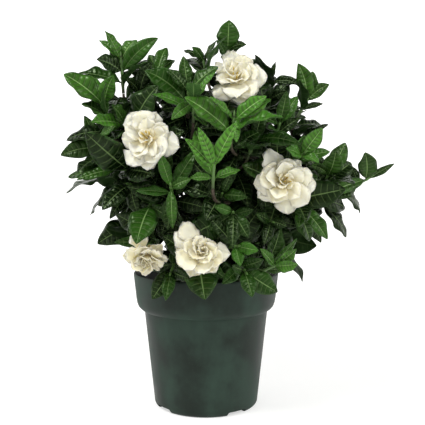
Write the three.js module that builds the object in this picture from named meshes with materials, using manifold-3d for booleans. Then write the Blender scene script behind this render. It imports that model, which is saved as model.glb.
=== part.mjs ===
// A double-flowered gardenia in a moulded nursery pot, in millimetres, +Z up.
// The origin is on the pot's axis, on the flat underside that it stands on. -Y is the front.
//
// The pot is one thin shell with a deep collar and four drain notches. It holds a plug of potting mix.
// The shrub's root crown stands in a hole in the mix and forks into main branches and twigs, all one body.
// Each twig ends in a leafy shoot, one body of stem and whorled leaves, and five of those carry a bloom.
import * as THREE from "three";
import { mergeGeometries, mergeVertices } from "three/addons/utils/BufferGeometryUtils.js";
import Module from "manifold-3d";

const wasm = await Module();
wasm.setup();

// ---- driving dimensions -------------------------------------------------------------------------

const GAP = 0.3; // between pieces that touch
const WELD = 1e-3; // vertices closer than this are one

const POT_HEIGHT = 150;
const RIM_RADIUS = 82.3;
const COLLAR_RADIUS = 79.4; // near the collar's lower edge
const COLLAR_BOTTOM = 109; // height of the collar's lower lip
const WALL_RADIUS = 70.6; // of the tapering wall, where it meets the collar
const FOOT_RADIUS = 59; // of the wall, just above its rounded foot
const FOOT_ROUND = 10;
const POT_WALL = 2;
const POT_SIDES = 24;

const NOTCH_COUNT = 4;
const NOTCH_FIRST = 36.5; // degrees from the front, towards +X
const NOTCH_WIDTH = 25;
const NOTCH_HEIGHT = 4.5;

const MIX_LEVEL = 134;
const MIX_RELIEF = 1.6; // height of the lumps in its surface

const CROWN_RADIUS = 8;
const CROWN_BOTTOM = 106;
const CROWN_TOP = 134;
const CROWN_HOLE = 9.5;
const BRANCH_RADIUS = [3.6, 2.2];
const TWIG_RADIUS = [2.2, 1.6];
const SHOOT_RADIUS = [2, 1.4];
const FORKS_PER_BRANCH = 14;

const LEAF_THICKNESS = 1.3;
const LEAF_CLEARANCE = 1.4; // a leaf keeps this far from its neighbours, measured from its middle
const SEED = 11;

// ---- the plant's plan ---------------------------------------------------------------------------

// Where each main branch of the shrub ends. All of them rise from the crown.
const BRANCH_ENDS = [
  [-78, -34, 285],
  [-22, -22, 335],
  [72, -28, 300],
  [112, -14, 232],
  [-52, 62, 290],
  [48, 60, 300],
];

// The blooms: the middle of each, the way it faces, its petals' length, how far open it is from 0 to 1 and how
// far it is turned about its own axis, in degrees. Then, where the leaves of the shoot under it end, with their
// width for their length, and where the petals of its two outer whorls end.
const BLOOMS = [
  {
    name: "bloom_left", at: [-57, -95, 296], faces: [-0.12, -0.97, 0.2], petal: 29, open: 1.7, turn: 12,
    reach: [
      [-21, -84, 304, 0.58], [-33, -88, 267, 0.49], [-86, -72, 295, 0.42], [-56, -74, 328, 0.46],
      [-76, -70, 259, 0.49],
    ],
    petals: [
      [-76, -86, 322], [-48, -90, 323], [-24, -101, 287], [-58, -99, 264], [-77, -97, 270],
      [-84, -89, 298], [-63, -97, 324], [-36, -102, 308], [-38, -109, 281], [-47, -107, 272],
      [-69, -107, 278], [-79, -98, 310],
    ],
  },
  {
    name: "bloom_top", at: [32, -62, 361], faces: [0.1, -0.86, 0.5], petal: 29, open: 0.9, turn: 40,
    reach: [[0, -70, 341, 0.49], [65, -60, 350, 0.49], [17, -84, 327, 0.46]],
    petals: [
      [10, -53, 378], [30, -43, 392], [65, -57, 363], [42, -77, 331], [9, -76, 338], [55, -66, 346],
      [44, -56, 383], [55, -64, 369], [31, -87, 337], [11, -76, 357], [22, -59, 383], [47, -81, 339],
    ],
  },
  {
    name: "bloom_right", at: [79, -86, 253], faces: [0.08, -0.99, 0.1], petal: 33, open: 1.35, turn: 25,
    reach: [[41, -84, 269, 0.72], [58, -76, 235, 0.49], [117, -66, 259, 0.49], [80, -76, 296, 0.49]],
    petals: [
      [63, -82, 288], [98, -81, 275], [113, -83, 248], [84, -87, 220], [52, -89, 237], [48, -88, 251],
      [60, -92, 268], [85, -90, 277], [108, -90, 261], [103, -92, 231], [68, -97, 232], [54, -96, 258],
    ],
  },
  {
    name: "bloom_rim", at: [-3, -102, 184], faces: [0.12, -0.93, 0.3], petal: 29, open: 0.62, turn: 5,
    reach: [[0, -106, 137, 0.65], [-43, -88, 199, 0.49], [21, -92, 160, 0.49]],
    petals: [
      [-23, -93, 214], [-31, -98, 204], [26, -99, 182], [11, -108, 164], [-15, -112, 160],
      [-30, -105, 184], [-26, -117, 174], [-9, -107, 200], [11, -107, 192], [17, -112, 175],
      [-1, -118, 164], [-22, -111, 193],
    ],
  },
  {
    name: "bloom_low", at: [-60, -92, 176], faces: [-0.12, -0.8, -0.45], petal: 26, open: 0.55, turn: 50,
    reach: [[-92, -84, 192, 0.35], [-46, -84, 194, 0.49], [-79, -78, 219, 0.49]],
    petals: [
      [-69, -103, 206], [-42, -100, 192], [-36, -98, 177], [-46, -91, 163], [-75, -87, 165],
      [-84, -91, 179], [-77, -107, 186], [-60, -91, 158], [-41, -103, 172], [-48, -110, 187],
      [-62, -110, 191], [-70, -102, 172],
    ],
  },
];

// The leafy shoots without a bloom: the tip of each, the way it grows, the turn of its top whorl in degrees,
// how many whorls of how many leaves, the length of its leaves, how far they spread from the stem in degrees,
// their width for their length, and how young they are from 0 to 1. Then, from the top whorl down, where the
// leaves that show most end, with their width for their length and, where they are rolled, by how many degrees.
const SHOOTS = [
  ["crown_left", [-90, -42, 386], [-0.05, -0.1, 1], 20, 3, 3, 49, 40, 0.47, 0.6, [
    [-106, -46, 412, 0.42], [-75, -30, 406, 0.74], [-114, -36, 404, 0.32], [-112, -54, 386, 0.67, -70],
    [-49, -46, 404, 0.39, 60], [-101, -24, 400, 0.46], [-66, -66, 384, 0.51], [-136, -38, 369, 0.53],
    [-83, -20, 375, 0.46],
  ]],
  ["left_shoulder", [-71, -32, 354], [0.1, 0, 1], 90, 2, 3, 47, 40, 0.49, 0.05, [
    [-58, -36, 381, 0.46, 60], [-80, -48, 371, 0.49, -70], [-48, -40, 353, 0.46, 70], [-82, -54, 349, 0.46],
    [-56, -54, 339, 0.46],
  ]],
  ["left_up", [-106, -62, 337], [-0.2, -0.3, 0.9], 180, 2, 3, 49, 44, 0.47, 0.6, [
    [-146, -64, 364, 0.53], [-93, -76, 361, 0.56, 60], [-128, -40, 364, 0.51], [-125, -70, 336, 0.65],
    [-97, -96, 350, 0.3], [-117, -40, 349, 0.49],
  ]],
  ["left_fan", [-88, -68, 315], [-0.6, -0.5, 0.5], 60, 2, 3, 45, 52, 0.55, 0.5, [
    [-114, -88, 313, 0.58], [-112, -60, 299, 0.46], [-93, -88, 331, 0.58],
  ]],
  ["left_side", [-113, -44, 291], [-0.8, -0.3, 0.45], 75, 2, 3, 47, 42, 0.47, 0.35, [
    [-153, -52, 281, 0.49, -50], [-129, -46, 323, 0.35], [-106, -62, 310, 0.37, 50],
  ]],
  ["left_arm", [-97, -68, 267], [-0.9, -0.35, 0.1], 100, 2, 3, 54, 40, 0.45, 0.3, [
    [-143, -64, 258, 0.49], [-113, -86, 299, 0.39], [-130, -84, 255, 0.39], [-85, -74, 295, 0.42],
    [-51, -98, 255, 0.58],
  ]],
  ["left_low", [-80, -66, 251], [-0.35, -0.9, 0.1], 130, 2, 3, 49, 42, 0.51, 0, [
    [-112, -62, 228, 0.6], [-104, -86, 225, 0.46], [-76, -78, 220, 0.49], [-101, -56, 214, 0.35],
  ]],
  ["star_left", [-34, -98, 250], [0, -0.8, 0.4], 50, 2, 3, 47, 66, 0.45, 0.45, [
    [-48, -102, 281, 0.35], [-14, -104, 256, 0.58], [-32, -100, 207, 0.28], [-8, -88, 285, 0.35],
    [-70, -84, 244, 0.37], [-38, -84, 204, 0.46],
  ]],
  ["left_low_in", [-59, -74, 226], [-0.4, -0.6, -0.5], 200, 2, 3, 45, 48, 0.49, 0.15, [
    [-77, -80, 196, 0.51], [-67, -112, 190, 0.49], [-39, -90, 217, 0.49],
  ]],
  ["rim_left", [-35, -88, 161], [-0.1, -0.7, -0.3], 215, 2, 3, 40, 52, 0.51, 0.1, [
    [-53, -98, 136, 0.56], [-15, -100, 157, 0.46], [-39, -104, 136, 0.39], [-60, -70, 164, 0.49],
    [-10, -78, 171, 0.49], [-35, -66, 180, 0.49],
  ]],
  ["rim_right", [41, -90, 162], [0.2, -0.7, -0.2], 300, 2, 3, 43, 55, 0.51, 0.1, [
    [47, -102, 139, 0.51], [73, -90, 142, 0.6], [27, -100, 170, 0.58], [57, -96, 173, 0.49],
    [17, -88, 150, 0.49], [40, -70, 182, 0.49],
  ]],
  ["right_low", [75, -72, 168], [0.7, -0.4, 0.4], 30, 2, 3, 43, 40, 0.41, 0.65, [
    [95, -78, 169, 0.58], [94, -74, 184, 0.52], [55, -90, 186, 0.37], [96, -62, 194, 0.28],
    [84, -70, 203, 0.42], [85, -56, 162, 0.42],
  ]],
  ["front_large", [28, -94, 223], [0, -0.8, 0.15], 265, 2, 3, 47, 66, 0.51, 0.1, [
    [27, -108, 188, 0.37], [43, -98, 198, 0.58], [9, -100, 229, 0.49], [49, -84, 225, 0.49],
    [3, -92, 205, 0.49],
  ]],
  ["front_low", [33, -92, 189], [0.35, -0.7, 0.1], 0, 2, 3, 38, 60, 0.51, 0.3, [
    [-1, -104, 203, 0.42], [53, -98, 185, 0.58], [35, -100, 170, 0.58],
  ]],
  ["mid_low", [17, -80, 241], [0.1, -0.95, 0.2], 60, 2, 3, 43, 46, 0.47, 0.1, [
    [-2, -86, 243, 0.58], [27, -88, 263, 0.35], [42, -86, 235, 0.49],
  ]],
  ["mid_deep", [22, -52, 278], [0, -0.6, 0.55], 40, 2, 3, 49, 64, 0.53, 0, [
    [42, -70, 286, 0.49], [3, -72, 286, 0.49], [19, -76, 257, 0.49],
  ]],
  ["centre_sprig", [9, -106, 272], [0.05, -0.3, 0.95], 180, 2, 3, 47, 44, 0.43, 1, [
    [-19, -114, 295, 0.39], [-6, -114, 307, 0.3], [31, -114, 311, 0.32], [-15, -94, 257, 0.46],
    [35, -92, 265, 0.46],
  ]],
  ["upper_mid", [29, -86, 319], [0.1, -0.25, 0.95], 0, 2, 3, 49, 42, 0.45, 0.8, [
    [61, -94, 338, 0.44], [5, -96, 337, 0.32], [31, -100, 292, 0.42],
  ]],
  ["upper_left_mid", [-11, -78, 339], [0.05, -0.3, 0.95], 150, 2, 3, 47, 44, 0.45, 0.75, [
    [-11, -112, 348, 0.46], [-33, -98, 314, 0.39, -40], [10, -84, 363, 0.32], [-53, -84, 341, 0.3],
    [1, -92, 309, 0.46],
  ]],
  ["top_mid", [-18, -62, 350], [0, -0.3, 0.95], 120, 2, 3, 47, 40, 0.51, 0.25, [
    [-38, -72, 368, 0.51], [-22, -58, 385, 0.35], [13, -68, 371, 0.53],
  ]],
  ["top_left_mid", [-52, -30, 372], [0.1, 0, 1], 200, 2, 3, 45, 48, 0.49, 0.3, [
    [-62, -18, 392, 0.49], [-36, -20, 391, 0.46], [-51, -8, 398, 0.46], [-63, -50, 366, 0.49],
    [-31, -46, 363, 0.51],
  ]],
  ["top_tall", [24, -28, 400], [0.05, 0, 1], 90, 2, 2, 43, 40, 0.55, 0.35, [
    [25, -34, 426, 0.77], [44, -24, 402, 0.42, 65], [11, -30, 405, 0.46, -55], [36, -8, 410, 0.46],
  ]],
  ["top_left_in", [-3, -34, 386], [-0.2, -0.05, 0.95], 170, 2, 3, 43, 50, 0.49, 0.15, [
    [-14, -42, 396, 0.49, -70], [12, -36, 404, 0.35], [-24, -22, 396, 0.42], [7, -58, 367, 0.51],
  ]],
  ["top_right", [74, -8, 370], [0.1, 0.1, 0.95], 170, 2, 3, 43, 52, 0.47, 0.3, [
    [77, -14, 385, 0.35], [44, -20, 386, 0.39, -70], [100, -24, 360, 0.42, 70],
  ]],
  ["top_right_front", [70, -48, 342], [0.4, -0.4, 0.75], 320, 2, 3, 45, 48, 0.49, 0.05, [
    [59, -60, 355, 0.51, -65], [83, -58, 351, 0.49, 60], [54, -66, 325, 0.49],
  ]],
  ["right_top", [114, -16, 346], [0.5, -0.1, 0.85], 130, 2, 3, 49, 46, 0.49, 0.5, [
    [101, -22, 382, 0.49, -50], [136, -18, 360, 0.49, 60], [124, -14, 375, 0.53], [100, -40, 362, 0.58],
    [131, -6, 340, 0.28, 50], [117, -34, 358, 0.49],
  ]],
  ["right_up", [78, -64, 317], [0.2, -0.35, 0.85], 40, 2, 3, 47, 38, 0.45, 0.45, [
    [83, -76, 345, 0.44], [49, -70, 323, 0.49], [96, -58, 342, 0.46], [98, -66, 319, 0.46],
    [63, -86, 307, 0.49], [92, -44, 336, 0.49],
  ]],
  ["right_mid", [52, -74, 299], [0.3, -0.5, 0.8], 200, 2, 3, 47, 46, 0.47, 0.1, [
    [100, -84, 303, 0.32], [58, -76, 326, 0.49], [35, -84, 291, 0.49],
  ]],
  ["above_right_bloom", [100, -86, 282], [0.35, -0.65, 0.3], 0, 2, 3, 38, 62, 0.53, 0.6, [
    [80, -98, 286, 0.65], [112, -100, 272, 0.51], [118, -84, 307, 0.53], [101, -80, 300, 0.58],
    [128, -72, 284, 0.42],
  ]],
  ["right_arm_mid", [133, -44, 264], [0.35, -0.3, 0.85], 110, 2, 3, 40, 42, 0.59, 0.5, [
    [137, -56, 286, 0.7, -25], [150, -40, 295, 0.49, -25], [117, -58, 280, 0.49, -50],
  ]],
  ["right_arm_tip", [184, -14, 258], [0.85, -0.1, 0.5], 270, 2, 3, 47, 44, 0.53, 0.5, [
    [175, -24, 285, 0.74, -70], [210, -14, 273, 0.28], [121, -34, 240, 0.3], [162, -8, 270, 0.49, -60],
    [142, -40, 240, 0.51], [143, -16, 257, 0.49],
  ]],
  ["below_right_bloom", [103, -66, 225], [0.6, -0.45, -0.4], 330, 2, 3, 45, 42, 0.47, 0.5, [
    [126, -74, 194, 0.49], [94, -90, 208, 0.42], [112, -60, 211, 0.49],
  ]],
  ["below_right_in", [69, -72, 212], [0.3, -0.75, -0.1], 20, 2, 3, 40, 56, 0.49, 0.1, [
    [83, -84, 208, 0.51], [51, -86, 221, 0.51], [59, -88, 190, 0.46],
  ]],
  ["right_low_in", [67, -44, 190], [0.8, -0.3, 0.2], 70, 2, 3, 45, 46, 0.47, 0, [
    [90, -58, 203, 0.37], [77, -54, 206, 0.39], [59, -66, 176, 0.49],
  ]],
];

// The back of the shrub, out of the front view, is filled by rings of shoots:
// the height of each ring, its radius, how many shoots, the first and last bearing, and how steeply they grow.
const BACK_RINGS = [
  { height: 196, radius: 84, count: 4, bearings: [18, 162], rise: 0.25 },
  { height: 268, radius: 112, count: 5, bearings: [4, 176], rise: 0.5 },
  { height: 336, radius: 84, count: 4, bearings: [30, 155], rise: 1 },
];

// ---- small helpers ------------------------------------------------------------------------------

const radians = THREE.MathUtils.degToRad;
const vector = (list) => new THREE.Vector3(...list);
const unit = (list) => vector(list).normalize();
const mix = (a, b, share) => a + (b - a) * share;

// A repeatable draw between 0 and 1 for the given whole numbers.
function draw(...keys) {
  const sum = keys.reduce((total, key, i) => total + key * (12.9898 + 65.2341 * i), SEED);
  const value = Math.sin(sum) * 43758.5453;
  return value - Math.floor(value);
}

const jitter = (size, ...keys) => (draw(...keys) * 2 - 1) * size;

// Two unit vectors square to an axis: the first leans towards +X, the second completes the frame.
function frameAbout(axis) {
  const right = new THREE.Vector3(1, 0, 0);
  const first = right.addScaledVector(axis, -right.dot(axis)).normalize();
  return [first, new THREE.Vector3().crossVectors(axis, first)];
}

function around(axis, degrees) {
  const [first, second] = frameAbout(axis);
  const turn = radians(degrees);
  return first.multiplyScalar(Math.cos(turn)).addScaledVector(second, Math.sin(turn));
}

// A three.js geometry as a solid: corners that coincide are merged, and faces that have shrunk to a line go.
function solid(geometry) {
  const bare = geometry.clone();
  for (const name of Object.keys(bare.attributes)) {
    if (name !== "position") bare.deleteAttribute(name);
  }
  const merged = mergeVertices(bare, WELD);
  const corners = [];
  for (let i = 0; i < merged.index.count; i += 3) {
    const face = [0, 1, 2].map((k) => merged.index.getX(i + k));
    if (new Set(face).size === 3) corners.push(...face);
  }
  return new wasm.Manifold(
    new wasm.Mesh({
      numProp: 3,
      vertProperties: new Float32Array(merged.attributes.position.array),
      triVerts: new Uint32Array(corners),
    }),
  );
}

// Solids joined into one body. Sealed hollows are filled and loose scraps go, because only the largest
// closed surface stays.
function fuse(solids) {
  const bodies = wasm.Manifold.union(solids).decompose();
  return bodies.reduce((largest, body) => (body.volume() > largest.volume() ? body : largest));
}

function mesh(name, shape, material) {
  const made = shape.getMesh();
  const geometry = new THREE.BufferGeometry()
    .setAttribute("position", new THREE.BufferAttribute(new Float32Array(made.vertProperties), 3))
    .setIndex(new THREE.BufferAttribute(new Uint32Array(made.triVerts), 1))
    .toNonIndexed();
  geometry.computeVertexNormals();
  const part = new THREE.Mesh(geometry, material);
  part.name = name;
  return part;
}

// A round bar that follows a curve and tapers from the first radius to the second.
function tube(curve, [startRadius, endRadius], sides, steps) {
  const geometry = new THREE.CylinderGeometry(endRadius, startRadius, 1, sides, steps);
  const frames = curve.computeFrenetFrames(steps);
  const places = geometry.attributes.position;
  for (let i = 0; i < places.count; i++) {
    const share = THREE.MathUtils.clamp(places.getY(i) + 0.5, 0, 1);
    const step = Math.round(share * steps);
    const point = curve
      .getPointAt(share)
      .addScaledVector(frames.normals[step], places.getX(i))
      .addScaledVector(frames.binormals[step], -places.getZ(i));
    places.setXYZ(i, point.x, point.y, point.z);
  }
  return solid(geometry);
}

// ---- blades: leaves and petals ------------------------------------------------------------------

// Half the width of a leaf along its length, as a share: it widens from a wedge and ends in a drawn-out tip.
function leafOutline(along) {
  const share = THREE.MathUtils.clamp((along - 0.06) / 0.94, 0, 1);
  return Math.sin(Math.PI * share ** 0.95) ** 0.75 * (1 - 0.22 * share ** 4);
}

// The same for a petal: a narrow claw that widens into a broad, round-ended blade.
function petalOutline(along) {
  const claw = 0.12 + 0.88 * THREE.MathUtils.smoothstep(along, 0, 0.66);
  const end = Math.max(0, (along - 0.6) / 0.4);
  return claw * Math.sqrt(Math.max(0, 1 - end ** 2.4));
}

// A point of a blade: along runs from root to tip, across from edge to edge, lift is above its face.
// The midrib starts out along heading and bends away from facing by bend radians. The halves fold up by fold,
// the edges curl down by curl and wave. The blade is rolled about its midrib at the root, and twists from there.
function bladePoint(blade, along, across, lift) {
  const slope = blade.rise - blade.bend * along;
  const reach = blade.length / blade.bend;
  const { heading, facing } = blade;
  const tangent = heading.clone().multiplyScalar(Math.cos(slope)).addScaledVector(facing, Math.sin(slope));
  const normal = heading.clone().multiplyScalar(-Math.sin(slope)).addScaledVector(facing, Math.cos(slope));
  const side = new THREE.Vector3().crossVectors(facing, heading);
  side.applyAxisAngle(tangent, blade.roll + blade.twist * along);
  normal.applyAxisAngle(tangent, blade.roll + blade.twist * along);
  const half = (blade.width / 2) * blade.outline(along);
  const wave = blade.wave * Math.sin(blade.waves * Math.PI * along + blade.phase + (across < 0 ? 2 : 0));
  const raised = Math.abs(across) * Math.sin(blade.fold) + across * across * (wave - blade.curl);
  return blade.root
    .clone()
    .addScaledVector(heading, reach * (Math.sin(blade.rise) - Math.sin(slope)))
    .addScaledVector(facing, reach * (Math.cos(slope) - Math.cos(blade.rise)))
    .addScaledVector(side, across * half * Math.cos(blade.fold))
    .addScaledVector(normal, half * raised + lift);
}

// A blade as a closed solid. One grid is laid along its upper face and, turned over, along its lower face, so
// that both are split alike. They meet at the edges, and a whole row meets at the root and at the tip.
function bladeSolid(blade, stations, columns, thickness) {
  const upper = new THREE.PlaneGeometry(2, 1, columns, stations.length - 1);
  const lower = upper.clone();
  lower.index.array.reverse();
  for (const [grid, side] of [[upper, 0.5], [lower, -0.5]]) {
    const places = grid.attributes.position;
    for (let i = 0; i < places.count; i++) {
      const station = Math.round((0.5 - places.getY(i)) * (stations.length - 1));
      const atEnd = station === 0 || station === stations.length - 1;
      const across = atEnd ? 0 : places.getX(i);
      const lift = atEnd || Math.abs(across) > 1 - WELD ? 0 : side * thickness;
      const point = bladePoint(blade, stations[station], across, lift);
      places.setXYZ(i, point.x, point.y, point.z);
    }
  }
  return solid(mergeGeometries([upper, lower]));
}

// ---- the pot and its mix ------------------------------------------------------------------------

function lathe(points, sides) {
  return new THREE.LatheGeometry(
    points.map(([radius, height]) => new THREE.Vector2(radius, height)),
    sides,
  ).rotateX(Math.PI / 2);
}

// The inner wall's radius at a height.
function innerRadius(height) {
  const rise = (height - FOOT_ROUND) / (COLLAR_BOTTOM - FOOT_ROUND);
  if (height < COLLAR_BOTTOM) return mix(FOOT_RADIUS, WALL_RADIUS, rise) - POT_WALL;
  const share = (height - COLLAR_BOTTOM - 12) / (POT_HEIGHT - COLLAR_BOTTOM - 12);
  return mix(COLLAR_RADIUS, RIM_RADIUS, share) - POT_WALL;
}

function notchShape() {
  const half = NOTCH_WIDTH / 2;
  const shape = new THREE.Shape();
  shape.moveTo(-half, -1);
  shape.lineTo(half, -1);
  shape.lineTo(half, NOTCH_HEIGHT / 2);
  shape.quadraticCurveTo(half, NOTCH_HEIGHT, half - NOTCH_HEIGHT / 2, NOTCH_HEIGHT);
  shape.lineTo(-half + NOTCH_HEIGHT / 2, NOTCH_HEIGHT);
  shape.quadraticCurveTo(-half, NOTCH_HEIGHT, -half, NOTCH_HEIGHT / 2);
  return shape;
}

function potSolid() {
  const footArc = [0, 35, 65, 90].map((degrees) => [
    FOOT_RADIUS - FOOT_ROUND * (1 - Math.sin(radians(degrees))),
    FOOT_ROUND * (1 - Math.cos(radians(degrees))),
  ]);
  const outer = [
    [0, 0],
    ...footArc,
    [WALL_RADIUS, COLLAR_BOTTOM + 0.6],
    [WALL_RADIUS + 2.4, COLLAR_BOTTOM],
    [COLLAR_RADIUS - 1.8, COLLAR_BOTTOM + 5],
    [COLLAR_RADIUS, COLLAR_BOTTOM + 13],
    [RIM_RADIUS, POT_HEIGHT - 1],
    [RIM_RADIUS - 0.7, POT_HEIGHT],
  ];
  const inner = [
    [RIM_RADIUS - POT_WALL, POT_HEIGHT],
    [COLLAR_RADIUS - POT_WALL, COLLAR_BOTTOM + 12],
    [WALL_RADIUS + 1.6, COLLAR_BOTTOM + 3.2],
    [WALL_RADIUS - POT_WALL, COLLAR_BOTTOM],
    [FOOT_RADIUS - POT_WALL, FOOT_ROUND + POT_WALL],
    [FOOT_RADIUS - FOOT_ROUND, POT_WALL],
    [0, POT_WALL],
  ];
  let pot = solid(lathe([...outer, ...inner], POT_SIDES));
  for (let i = 0; i < NOTCH_COUNT; i++) {
    const block = { depth: 20, bevelEnabled: false, curveSegments: 1 };
    const notch = new THREE.ExtrudeGeometry(notchShape(), block)
      .rotateX(Math.PI / 2)
      .translate(0, -(FOOT_RADIUS - FOOT_ROUND - 4), 0)
      .rotateZ(radians(NOTCH_FIRST + (i * 360) / NOTCH_COUNT));
    pot = pot.subtract(solid(notch));
  }
  return pot;
}

// The plug of mix fills the pot to its level. Lumps are raised on its surface by a formula, and its
// middle is bored for the root crown.
function mixSolid() {
  const clear = 2 * GAP;
  const top = [
    [innerRadius(MIX_LEVEL) - clear, MIX_LEVEL - 3],
    [innerRadius(MIX_LEVEL) * 0.94, MIX_LEVEL - 1],
    [52, MIX_LEVEL + 0.6],
    [31, MIX_LEVEL + 0.6],
    [15, MIX_LEVEL - 2],
  ];
  const side = [
    [CROWN_HOLE, CROWN_BOTTOM - GAP],
    [0, CROWN_BOTTOM - GAP],
  ];
  const wall = [
    [0, POT_WALL + GAP],
    [FOOT_RADIUS - FOOT_ROUND - clear, POT_WALL + GAP],
    [innerRadius(FOOT_ROUND + 4) - clear, FOOT_ROUND + 4],
    [innerRadius(COLLAR_BOTTOM - 1) - clear, COLLAR_BOTTOM - 1],
    [COLLAR_RADIUS - POT_WALL - clear, COLLAR_BOTTOM + 14],
  ];
  const geometry = lathe([...wall, ...top, [CROWN_HOLE, MIX_LEVEL - 3], ...side], POT_SIDES);
  const places = geometry.attributes.position;
  const [innermost, outermost] = [14, innerRadius(MIX_LEVEL) * 0.94 + 1];
  for (let i = 0; i < places.count; i++) {
    const [x, y, z] = [places.getX(i), places.getY(i), places.getZ(i)];
    const radius = Math.hypot(x, y);
    if (z > MIX_LEVEL - 3 + WELD && radius > innermost && radius < outermost) {
      places.setZ(i, z + MIX_RELIEF * Math.sin(x * 0.9 + 1) * Math.cos(y * 0.8));
    }
  }
  return solid(geometry);
}

// ---- wood ---------------------------------------------------------------------------------------

// A main branch: it leaves the crown almost upright and leans out to its end.
function branchCurve(end) {
  const [x, y, z] = end;
  const start = new THREE.Vector3(x, y, 0).normalize().multiplyScalar(4).setZ(CROWN_TOP - 4);
  return new THREE.CubicBezierCurve3(
    start,
    new THREE.Vector3(start.x + x * 0.12, start.y + y * 0.12, start.z + (z - start.z) * 0.35),
    new THREE.Vector3(x * 0.75, y * 0.75, mix(start.z, z, 0.6)),
    new THREE.Vector3(x, y, z),
  );
}

// A twig leaves a main branch at a fork of its own, the nearest one below its end, and comes round to its
// shoot's heading.
function twigCurve(forks, end, heading) {
  const cost = (fork) => {
    const distance = fork.point.distanceTo(end);
    return distance + 0.9 * Math.max(0, fork.point.z - end.z + 0.35 * distance);
  };
  const best = forks.filter((fork) => !fork.taken).reduce((a, b) => (cost(b) < cost(a) ? b : a));
  best.taken = true;
  const distance = best.point.distanceTo(end);
  const away = end.clone().sub(best.point).normalize().add(best.along).normalize();
  return new THREE.CubicBezierCurve3(
    best.point,
    best.point.clone().addScaledVector(away, distance * 0.3),
    end.clone().addScaledVector(heading, -distance * 0.35),
    end,
  );
}

// Where twigs may fork from the main branches.
function forksOf(branches) {
  return branches.flatMap((branch) =>
    Array.from({ length: FORKS_PER_BRANCH }, (_, i) => {
      const share = mix(0.1, 0.98, i / (FORKS_PER_BRANCH - 1));
      return { point: branch.getPoint(share), along: branch.getTangent(share) };
    }),
  );
}

// ---- shoots -------------------------------------------------------------------------------------

const WHORL_STEP = 12; // along the stem, from whorl to whorl
const TIP_TO_WHORL = 5;
const CALYX = 8; // the calyx's length, above the top whorl of a shoot that flowers
const CALYX_RADIUS = [1.6, 3.4];
const BLOOM_DEPTH = 22; // from a bloom's middle back to the calyx

function allShoots() {
  const fromRow = ([name, at, toward, turn, whorls, count, leaf, spread, slim, young, reach]) => ({
    name: "shoot_" + name, at: vector(at), toward: unit(toward), turn, whorls, count, leaf, spread, slim, young, reach,
  });
  const flowering = BLOOMS.map(({ name, at, faces, turn, reach }) => ({
    ...fromRow([name.replace("bloom_", "under_"), at, faces, turn + 30, 2, 3, 40, 66, 0.46, 0.3, reach]),
    at: vector(at).addScaledVector(unit(faces), -BLOOM_DEPTH),
    flowers: true,
  }));
  const back = BACK_RINGS.flatMap((ring, level) =>
    Array.from({ length: ring.count }, (_, i) => {
      const share = i / (ring.count - 1);
      const bearing = radians(mix(ring.bearings[0], ring.bearings[1], share) + jitter(5, level, i));
      const radius = ring.radius + jitter(10, level, i, 1);
      const height = ring.height + jitter(12, level, i, 2);
      const at = [radius * Math.cos(bearing), radius * Math.sin(bearing), height];
      const toward = [Math.cos(bearing), Math.sin(bearing), ring.rise];
      return fromRow([`back_${level}_${i}`, at, toward, 360 * draw(level, i, 3), 2, 3, 54, 48, 0.5, 0.15, []]);
    }),
  );
  return [...flowering, ...SHOOTS.map(fromRow), ...back].map((shoot, id) => ({ ...shoot, id }));
}

// The ways a leaf may swing from its first place to keep clear of its neighbours:
// degrees round the stem, degrees away from it, and a share of its length.
const SWINGS = [
  [0, 0, 1], [7, 0, 1], [-7, 0, 1], [0, 7, 1], [0, -7, 1], [14, 0, 1], [-14, 0, 1], [7, 12, 1], [-7, 12, 1],
  [7, -12, 1], [-7, -12, 1], [26, 6, 1], [-26, 6, 1], [26, -10, 1], [-26, -10, 1], [0, 24, 0.9], [0, 0, 0.8],
  [38, 0, 0.9], [-38, 0, 0.9], [14, -20, 0.8], [-14, -20, 0.8], [0, 0, 0.64], [14, 14, 0.64], [-14, 14, 0.64],
];

const LEAF_STATIONS = [0, 0.28, 0.72, 1];
const ROOM_STATIONS = [0.03, 0.15, 0.3, 0.5, 0.75, 1];
const WHORL_SIZES = [1, 1.18, 1.2]; // how long the leaves of each whorl are, from the tip down
const UP = new THREE.Vector3(0, 0, 1);
const HEART = new THREE.Vector3(0, 30, 215); // the shrub's middle
const OUTWARD = new THREE.Vector3(0.2, 1, 0.5); // how much each direction away from it counts
const ALONG_STEM = 0.3; // how far leaves face the shoot's tip
const UPWARD = 0.15; // and the light

// The course of a leaf that ends at a place of its own, from its node.
function aimedCourse(shoot, node, [x, y, z, slim, roll = 0]) {
  const chord = new THREE.Vector3(x, y, z).sub(node);
  const out = chord.clone().addScaledVector(shoot.toward, -chord.dot(shoot.toward)).normalize();
  return { out, spread: chord.angleTo(shoot.toward), length: chord.length(), slim, roll };
}

// The course of any other leaf: whorls are turned so that leaves stand over gaps, and open wider further down.
function whorledCourse(shoot, whorl, index, key) {
  const turn = shoot.turn + (360 / shoot.count) * (index + whorl / 2) + jitter(9, ...key, 1);
  const spread = radians(shoot.spread + 13 * whorl + jitter(7, ...key, 2));
  const length = shoot.leaf * WHORL_SIZES[whorl] * (1 + jitter(0.1, ...key, 4));
  return { out: around(shoot.toward, turn), spread, length, slim: shoot.slim + 0.04, roll: 0 };
}

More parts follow.
